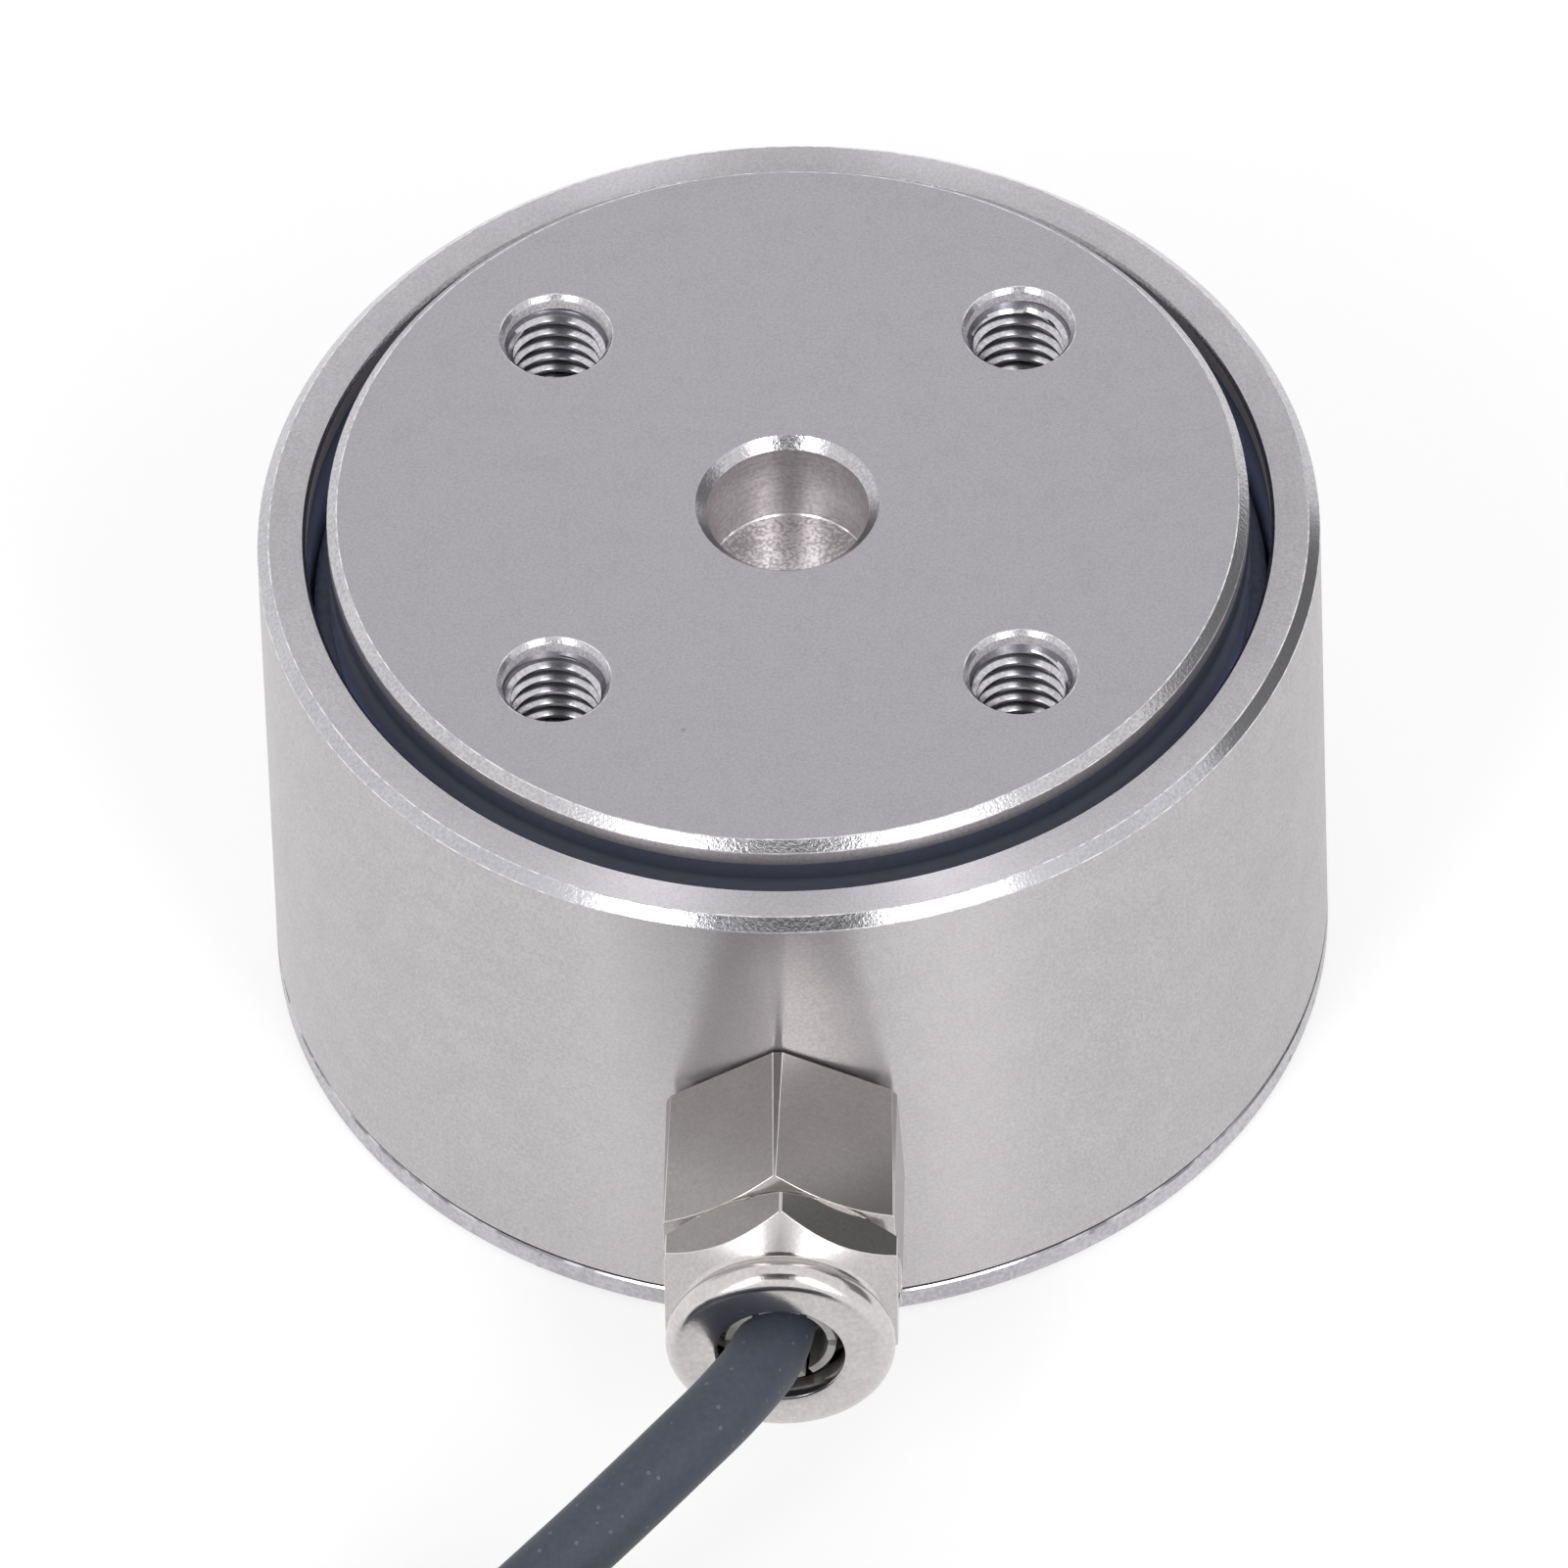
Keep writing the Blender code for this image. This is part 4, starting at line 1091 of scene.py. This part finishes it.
@dataclass
class Gland:
    """The cable gland's body and nut."""

    body: HexSection = HexSection(0.0130, math.radians(2.2))
    body_land_rear: float = 0.00055
    body_land_front: float = 0.00016
    body_face: float = 0.00645
    body_gap: float = 0.0002
    chamfer: float = math.tan(math.radians(30.0))
    shank: float = 0.00455
    shank_edge: float = 0.0003
    bore: float = 0.0026
    spigot: float = 0.0050
    spigot_length: float = 0.0028
    socket: float = 0.0040
    socket_depth: float = 0.0063
    nut: HexSection = HexSection(0.01304, math.radians(-0.9))
    nut_land: float = 0.00012
    nut_rear_face: float = 0.00675
    nut_hex_end: float = 0.00186
    nut_neck: float = 0.0057
    nut_neck_start: float = 0.00355
    neck_edge: float = 0.00012
    neck_groove: float = 0.0001
    neck_length: float = 0.0004
    bead: float = 0.00645
    bead_radius: float = 0.0010
    bead_from: float = -40.0
    bead_points: int = 15
    mouth: float = 0.0036
    mouth_edge: float = 0.0002
    mouth_round: float = 0.3
    thread: float = 0.0053
    thread_depth: float = 0.0030
    edge: float = 0.00007
    edge_angle: float = 24.0
    body_sharp: float = 20.0
    nut_sharp: float = 24.0

    def finish_edges(self, piece: bpy.types.Object) -> None:
        """Rounds the piece's sharp edges and gives them its second finish, whose brighter colour
        is a painted highlight.
        """
        bevel = piece.modifiers.new("edges", "BEVEL")
        bevel.width = self.edge
        bevel.segments = 2
        bevel.limit_method = "ANGLE"
        bevel.angle_limit = math.radians(self.edge_angle)
        bevel.material = 1
        bevel.harden_normals = True

    def build_body(self) -> bpy.types.Object:
        """Builds the gland's body.

        The chamfer trims each point of the section where the cone from the front face
        meets it: as far back as the point stands out past the face, times the tangent
        of 30 degrees.

        Returns:
            The piece that stands for gland_body.
        """
        low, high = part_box("gland_body")
        tail = -high.y
        seat = -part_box("housing_sleeve")[0].y + self.body_gap
        front = -low.y - self.spigot_length
        rear_r, rear_a = self.body.loop(self.body_land_rear)
        front_r, front_a = self.body.loop(self.body_land_front)
        meet = front - (front_r - self.body_face) * self.chamfer
        end = front + self.spigot_length
        step = self.shank_edge
        loops = [
            (self.bore, front_a, tail),
            (self.bore, front_a, end - self.socket_depth),
            (self.socket, front_a, end - self.socket_depth),
            (self.socket, front_a, end),
            (self.spigot - step, front_a, end),
            (self.spigot, front_a, end - step),
            (self.spigot, front_a, front),
            (self.body_face, front_a, front),
            (front_r, front_a, meet),
            (rear_r, rear_a, seat),
            (self.shank, front_a, seat),
            (self.shank, front_a, tail + step),
            (self.shank - step, front_a, tail),
            (self.bore, front_a, tail),
        ]
        shell = Shell("nickel", "nickel_painted_highlight")
        shell.grid(gland_grid(loops))
        piece = shell.piece("gland_hexagon", self.body_sharp)
        self.finish_edges(piece)
        return dress(piece, Slot.NICKEL, "gland_body")

    def build_nut(self) -> bpy.types.Object:
        """Builds the nut: rear chamfer, hexagon, cone, neck and rounded bead.

        Returns:
            The piece that stands for gland_nut.
        """
        low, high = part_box("gland_nut")
        rear, front = -high.y, -low.y
        corner, angles = self.nut.loop(self.nut_land)
        neck_at = rear + self.nut_neck_start
        slope = (neck_at - rear - self.nut_hex_end) / (corner.max() - self.nut_neck)
        bead_mid = (self.bead - self.bead_radius, front - self.bead_radius)
        lip = self.mouth_edge
        corner_cut = self.mouth_round * lip
        loops = [
            (self.nut_rear_face, rear),
            (corner, rear + (corner - self.nut_rear_face) * self.chamfer),
            (corner, neck_at - (corner - self.nut_neck) * slope),
            (self.nut_neck + self.neck_edge, neck_at - self.neck_edge * slope),
            (self.nut_neck, neck_at + self.neck_groove),
            (self.nut_neck + self.neck_groove, neck_at + self.neck_length),
            *arc_rows(bead_mid, self.bead_radius, self.bead_from, 90, self.bead_points),
            (self.mouth + lip, front),
            (self.mouth + corner_cut, front - corner_cut),
            (self.mouth, front - lip),
            (self.mouth, rear + self.thread_depth + self.thread - self.mouth),
            (self.thread, rear + self.thread_depth),
            (self.thread, rear),
            (self.nut_rear_face, rear),
        ]
        finish = ["nut_flat", "nut_flat", "nut_cone"] + ["polished_nickel"] * (len(loops) - 4)
        shell = Shell("polished_nickel", "nickel_painted_highlight", "nut_flat", "nut_cone")
        shell.grid(gland_grid([(r, angles, out) for r, out in loops]), finish)
        piece = shell.piece("gland_cap_nut", self.nut_sharp)
        self.finish_edges(piece)
        return dress(piece, Slot.NICKEL, "gland_nut")


@dataclass
class ClampClaw:
    """The claw in the nut's mouth: a ring with fingers that lean in on the cable."""

    fingers: int = 6
    ring_width: float = 0.0009
    bore: float = 0.00245
    finger_root: float = 0.0033
    finger_tip: float = 0.0031
    thickness: float = 0.00045
    gap_share: float = 0.08
    finger_share: float = 0.84
    ring_gap: float = 0.00001
    ring_columns: int = 60
    finger_rows: int = 7
    finger_columns: int = 9

    def build(self) -> bpy.types.Object:
        """Builds the claw.

        A finger's outer radius falls from root to tip with the square of the way out.

        Returns:
            The piece that stands for clamp_claw.
        """
        low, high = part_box("clamp_claw")
        rear, front, outer = -high.y, -low.y, high.x
        root = rear + self.ring_width
        bore = self.bore
        shell = Shell("nylon")
        ring = rows((bore, rear), (bore, root), (outer, root), (outer, rear), (bore, rear))
        shell.grid(at_gland(turned(ring, full_turn(self.ring_columns))))
        reach = np.linspace(root + self.ring_gap, front, self.finger_rows)
        lean = (reach - reach[0]) / (reach[-1] - reach[0])
        out = self.finger_root + (self.finger_tip - self.finger_root) * lean**2
        outside = np.stack([out, reach], -1)
        inside = np.stack([out - self.thickness, reach], -1)
        loop = np.concatenate([outside, inside[::-1], outside[:1]])
        for number in range(self.fingers):
            start = TAU * (number + self.gap_share) / self.fingers
            end = start + TAU * self.finger_share / self.fingers
            angles = np.linspace(start, end, self.finger_columns)
            shell.grid(at_gland(turned(loop, angles)))
            for side in (angles[0], angles[-1]):
                cap = [turned(edge, np.array([side]))[:, 0] for edge in (outside, inside)]
                shell.grid(at_gland(np.stack(cap)))
        return dress(shell.piece("claw_fingers"), Slot.NYLON, "clamp_claw")


# Cable


@dataclass
class SignalCable:
    """The cable from the gland to its coil, and what is on its end."""

    diameter: float = 0.0043
    length: float = 2.0
    route: tuple = (
        (0.0, 0.0, 0.0157),
        (0.0, 0.0060, 0.0157),
        (0.0, 0.0115, 0.0157),
        (-0.00018, 0.0140, 0.01566),
        (-0.00084, 0.0165, 0.01577),
        (-0.00256, 0.0197, 0.01599),
        (-0.00564, 0.0231, 0.01519),
        (-0.01234, 0.0285, 0.01179),
        (-0.02057, 0.0334, 0.00660),
    )
    inside: float = 0.0048
    columns: int = 4
    layers: int = 3
    pitch: float = 0.0044
    join_angle: float = math.radians(125.0)
    shift_share: float = 0.2
    tail_end: float = math.radians(165.0)
    points_per_turn: int = 64
    join_steps: int = 6
    tail_steps: int = 6
    sides: int = 20
    sharp: float = 50.0

    def coil(self) -> tuple[Vector, float, float]:
        """The coil's centre, mean radius and lowest height, from its solid."""
        low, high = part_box("cable_coil")
        centre = (low + high) / 2
        outer = (high.x - low.x) / 2
        return centre, outer - self.columns * self.pitch / 2, low.z

    def coil_points(self) -> np.ndarray:
        """The turns, layer on layer, each one pitch from the last.

        A turn keeps its radius and height for most of the way round. In its last fifth
        it crosses to the next place by a smooth step, all turns in the same sector, so
        they stay side by side.
        """
        centre, mean, low = self.coil()
        places = []
        for layer in range(self.layers):
            order = range(self.columns)
            order = reversed(order) if layer % 2 == 0 else order
            for column in order:
                radius = mean + (column - (self.columns - 1) / 2) * self.pitch
                places.append((radius, low + (layer + 0.5) * self.pitch))
        end_low, end_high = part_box("cable_end")
        places.append((mean, (end_low.z + end_high.z) / 2))
        places = np.array(places)
        turns = len(places) - 1
        share = np.arange(turns * self.points_per_turn + 1) / self.points_per_turn
        number = np.minimum(share.astype(int), turns - 1)
        ramp = np.clip((share - number - 1 + self.shift_share) / self.shift_share, 0.0, 1.0)
        ramp = ramp * ramp * (3 - 2 * ramp)
        here = places[number] * (1 - ramp)[:, None] + places[number + 1] * ramp[:, None]
        tail = (self.tail_end - self.join_angle) / TAU
        extra = np.arange(1, self.tail_steps + 1) / self.tail_steps * tail
        share = np.concatenate([share, share[-1] + extra])
        here = np.concatenate([here, np.repeat(places[-1:], len(extra), axis=0)])
        angle = self.join_angle + TAU * share
        x = centre.x + here[:, 0] * np.cos(angle)
        y = centre.y + here[:, 0] * np.sin(angle)
        return np.stack([x, y, here[:, 1]], -1)

    def path(self) -> np.ndarray:
        """The whole centreline: the route, a smooth join and the coil."""
        wall = -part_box("housing_sleeve")[0].y
        start = [(0.0, -wall + self.inside, gland_height())]
        route = np.array(start + [(x, -wall - out, z) for x, out, z in self.route])
        coil = self.coil_points()
        free = smooth_curve(np.concatenate([route, coil[:3]]), self.join_steps)
        return np.concatenate([free[: -2 * self.join_steps], coil[1:]])

    def build(self) -> bpy.types.Object:
        """Builds the cable as one round tube along its whole centreline.

        Returns:
            The cable.
        """
        path = self.path()
        shell = Shell("cable_jacket")
        shell.grid(tube_grid(path, self.diameter / 2, self.sides))
        piece = shell.piece("signal_cable", self.sharp)
        LOG.info("cable: %.3f m", np.linalg.norm(np.diff(path, axis=0), axis=1).sum())
        return dress(piece, Slot.JACKET, "cable", "cable_coil", "cable_end")


def smooth_curve(knots: np.ndarray, count: int) -> np.ndarray:
    """A smooth line through points, with count steps between each two.

    Between two points it is the cubic whose slopes at them are the mean of the slopes
    before and after, each weighted by the other's distance.
    """
    gaps = np.linalg.norm(np.diff(knots, axis=0), axis=1)
    slope = np.diff(knots, axis=0) / gaps[:, None]
    inner = slope[:-1] * gaps[1:, None] + slope[1:] * gaps[:-1, None]
    inner /= (gaps[:-1] + gaps[1:])[:, None]
    tangent = np.concatenate([slope[:1], inner, slope[-1:]])
    t = np.linspace(0.0, 1.0, count + 1)[:-1][None, :, None]
    first, last = knots[:-1, None], knots[1:, None]
    leave = tangent[:-1, None] * gaps[:, None, None]
    arrive = tangent[1:, None] * gaps[:, None, None]
    line = first * (2 * t**3 - 3 * t**2 + 1) + leave * (t**3 - 2 * t**2 + t)
    line += last * (3 * t**2 - 2 * t**3) + arrive * (t**3 - t**2)
    return np.concatenate([line.reshape(-1, 3), knots[-1:]])


def tube_grid(path: np.ndarray, radius: float, sides: int) -> np.ndarray:
    """Carries a circle along a path, with its ends closed to a point.

    The circle stands across the path's direction. Its first spoke is the one before,
    less its part along the new direction, so the tube doesn't twist.
    """
    direction = np.gradient(path, axis=0)
    direction /= np.linalg.norm(direction, axis=1)[:, None]
    spoke = np.cross(direction[0], FIRST_SPOKE)
    spokes = []
    for ahead in direction:
        spoke = spoke - ahead * (spoke @ ahead)
        spoke /= np.linalg.norm(spoke)
        spokes.append(spoke)
    first = np.array(spokes)
    second = np.cross(direction, first)
    angle = full_turn(sides)[None, :, None]
    ring = first[:, None] * np.cos(angle) + second[:, None] * np.sin(angle)
    body = path[:, None] + radius * ring
    start = np.repeat(path[:1, None], sides + 1, axis=1)
    end = np.repeat(path[-1:, None], sides + 1, axis=1)
    return np.concatenate([start, body, end])


# Studio


@dataclass(frozen=True)
class Panel:
    """A rectangle that faces the object: its direction in degrees, distance and size."""

    azimuth: float
    elevation: float
    distance: float
    width: float
    height: float


SOFTBOXES = {
    "left_softbox": (Panel(-28.0, 33.0, 1.6, 0.36, 1.36), 6.4),
    "right_softbox": (Panel(31.5, 33.0, 1.6, 0.50, 1.36), 4.2),
}

FLAGS = {
    "camera_flag": (Panel(-2.3, 57.5, 1.2, 0.67, 0.80), 0.10),
    "side_flag": (Panel(112.0, 12.5, 1.0, 0.80, 0.50), 0.33),
    "rear_flag": (Panel(142.0, 23.0, 0.8, 0.34, 0.30), 0.20),
    "left_flag": (Panel(-135.0, 20.0, 0.8, 0.25, 0.28), 0.95),
}


def seen_rays(graph: Graph) -> bpy.types.NodeSocket:
    """1 for rays from the camera and for those that a surface mirrors or lets through."""
    rays = graph.add("ShaderNodeLightPath").outputs
    seen = graph.math("MAXIMUM", rays["Is Camera Ray"], rays["Is Glossy Ray"])
    return graph.math("MAXIMUM", seen, rays["Is Transmission Ray"])


def card(name: str, points: list, faces: list, material: bpy.types.Material):
    """Puts a flat card of one or more faces in the scene."""
    mesh = bpy.data.meshes.new(name)
    mesh.from_pydata(points, [], faces)
    mesh.materials.append(material)
    return placed(name, mesh)


@dataclass
class Studio:
    """Floor, lights, world and camera."""

    azimuth: float = math.radians(2.663)
    elevation: float = math.radians(48.114)
    roll: float = math.radians(-2.095)
    distance: float = 2.02183
    lens: float = 818.4
    sensor: float = 36.0
    far: float = 20.0
    aim: tuple[float, float] = (-0.00061, -0.004436)
    aim_height: float = 0.0185
    middle: tuple[float, float, float] = (0.0, 0.0, 0.02)
    floor_size: float = 3.0
    floor_shade: float = 0.50
    floor_glow: float = 0.60
    floor_roughness: float = 0.9
    room_light: float = 0.70

    def camera(self) -> None:
        """Sets the camera at the photograph's viewpoint."""
        ce, se = math.cos(self.elevation), math.sin(self.elevation)
        back = Vector((math.sin(self.azimuth) * ce, -math.cos(self.azimuth) * ce, se))
        right = (-back).cross(Vector((0, 0, 1))).normalized()
        up = right.cross(-back)
        c, s = math.cos(self.roll), math.sin(self.roll)
        across, above = right * c + up * s, up * c - right * s
        target = Vector((0, 0, self.aim_height)) + across * self.aim[0] + above * self.aim[1]
        data = bpy.data.cameras.new("camera")
        data.lens = self.lens
        data.sensor_width = self.sensor
        data.clip_end = self.far
        camera = placed("camera", data)
        turn = Matrix((across, above, back)).transposed().to_4x4()
        camera.matrix_world = Matrix.Translation(target + back * self.distance) @ turn
        bpy.context.scene.camera = camera

    def spot(self, panel: Panel) -> Vector:
        """The place at a panel's azimuth from -Y, elevation and distance."""
        a, e = math.radians(panel.azimuth), math.radians(panel.elevation)
        across = math.cos(e)
        place = Vector((math.sin(a) * across, -math.cos(a) * across, math.sin(e)))
        return place * panel.distance + Vector(self.middle)

    def softbox(self, name: str, panel: Panel, radiance: float) -> None:
        """Hangs a soft rectangular light that faces the object.

        Args:
            name: the light's name.
            panel: its place and size.
            radiance: how bright its face looks, with 1 for white.
        """
        data = bpy.data.lights.new(name, "AREA")
        data.shape = "RECTANGLE"
        data.size, data.size_y = panel.width, panel.height
        data.energy = radiance * math.pi * panel.width * panel.height
        lamp = placed(name, data)
        lamp.location = self.spot(panel)
        lamp.rotation_euler = lamp.location.to_track_quat("Z", "Y").to_euler()
        lamp.visible_camera = False

    def flag(self, name: str, panel: Panel, shade: float) -> None:
        """Stands a grey card that the camera doesn't see.

        Args:
            name: the card's name.
            panel: its place and size.
            shade: its grey.
        """
        centre = self.spot(panel)
        turn = centre.to_track_quat("Z", "Y")
        half = (panel.width / 2, panel.height / 2)
        corners = [(-1, -1), (1, -1), (1, 1), (-1, 1)]
        points = [centre + turn @ Vector((x * half[0], y * half[1], 0.0)) for x, y in corners]
        material, graph, shader = shader_of(name)
        graph.fill(shader, {"Base Color": (shade, shade, shade, 1.0), "Roughness": 1.0})
        made = card(name, points, [(3, 2, 1, 0)], material)
        made.visible_camera = False

    def floor(self) -> None:
        """Lays the pale floor in four squares, white to the camera but for the shadow."""
        material, graph, shader = shader_of("pale_floor")
        shade, size = self.floor_shade, self.floor_size
        inputs = {"Base Color": (shade, shade, shade, 1.0), "Roughness": self.floor_roughness}
        graph.fill(shader, inputs | {"Specular IOR Level": 0.0})
        strength = graph.math("MULTIPLY", seen_rays(graph), self.floor_glow)
        glow = graph.add("ShaderNodeEmission", {"Color": WHITE, "Strength": strength})
        both = graph.add("ShaderNodeAddShader", {0: shader.outputs[0], 1: glow.outputs[0]})
        graph.fill(graph.tree.nodes["Material Output"], {"Surface": both.outputs[0]})
        line = (-size, 0.0, size)
        points = [(x, y, 0.0) for y in line for x in line]
        squares = [(first + 1, first + 4, first + 3, first) for first in (0, 1, 3, 4)]
        card("floor", points, squares, material)

    def world(self) -> None:
        """Sets the even studio surround, white where it is seen."""
        world = bpy.data.worlds.new("studio")
        world.use_nodes = True
        graph = Graph(world.node_tree)
        strength = graph.spread(seen_rays(graph), 0.0, 1.0, self.room_light, 1.0)
        graph.fill(graph.tree.nodes["Background"], {"Color": WHITE, "Strength": strength})
        bpy.context.scene.world = world

    def build(self) -> None:
        """Sets up the whole studio."""
        self.floor()
        self.world()
        self.camera()
        for name, (panel, radiance) in SOFTBOXES.items():
            self.softbox(name, panel, radiance)
        for name, (panel, shade) in FLAGS.items():
            self.flag(name, panel, shade)
        bpy.context.scene.view_settings.view_transform = "Standard"


def four(name: str) -> tuple[str, ...]:
    """The names of four numbered nodes."""
    return tuple(f"{name}_{number}" for number in range(1, 5))


KEPT_NODES = {
    "black_rubber": ("base_seal", "port_ring", "gland_seal"),
    "gauge_film": four("strain_gauge") + four("gauge_ribbon"),
    "board_green": ("circuit_board",),
    "nylon": four("board_spacer"),
    "resistor_blue": four("trim_resistor"),
    "tie_black": ("coil_tie", "end_sleeve"),
    **{f"wire_{name}": (f"conductor_{name}", f"lead_{name}") for name in WIRES},
}


def dress_kept_nodes() -> None:
    """Gives each kept solid its finish, in its object's material slots."""
    for finish, nodes in KEPT_NODES.items():
        for name in nodes:
            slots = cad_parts[name].material_slots
            for slot in slots:
                slot.material = paint(finish)
            LOG.info("%s: %s in %d slots", name, finish, len(slots))


def main() -> None:
    """Builds the load cell and its studio."""
    logging.basicConfig(level=logging.INFO, format="%(name)s: %(message)s")
    Studio().build()
    cable = SignalCable()
    cord = cable.build()
    LoadColumn().build()
    HousingSleeve().build()
    GapSeal().build()
    gland = Gland()
    gland.build_body()
    gland.build_nut()
    ClampClaw().build()
    dress_kept_nodes()
    cable.path()


if __name__ == "__main__":
    main()
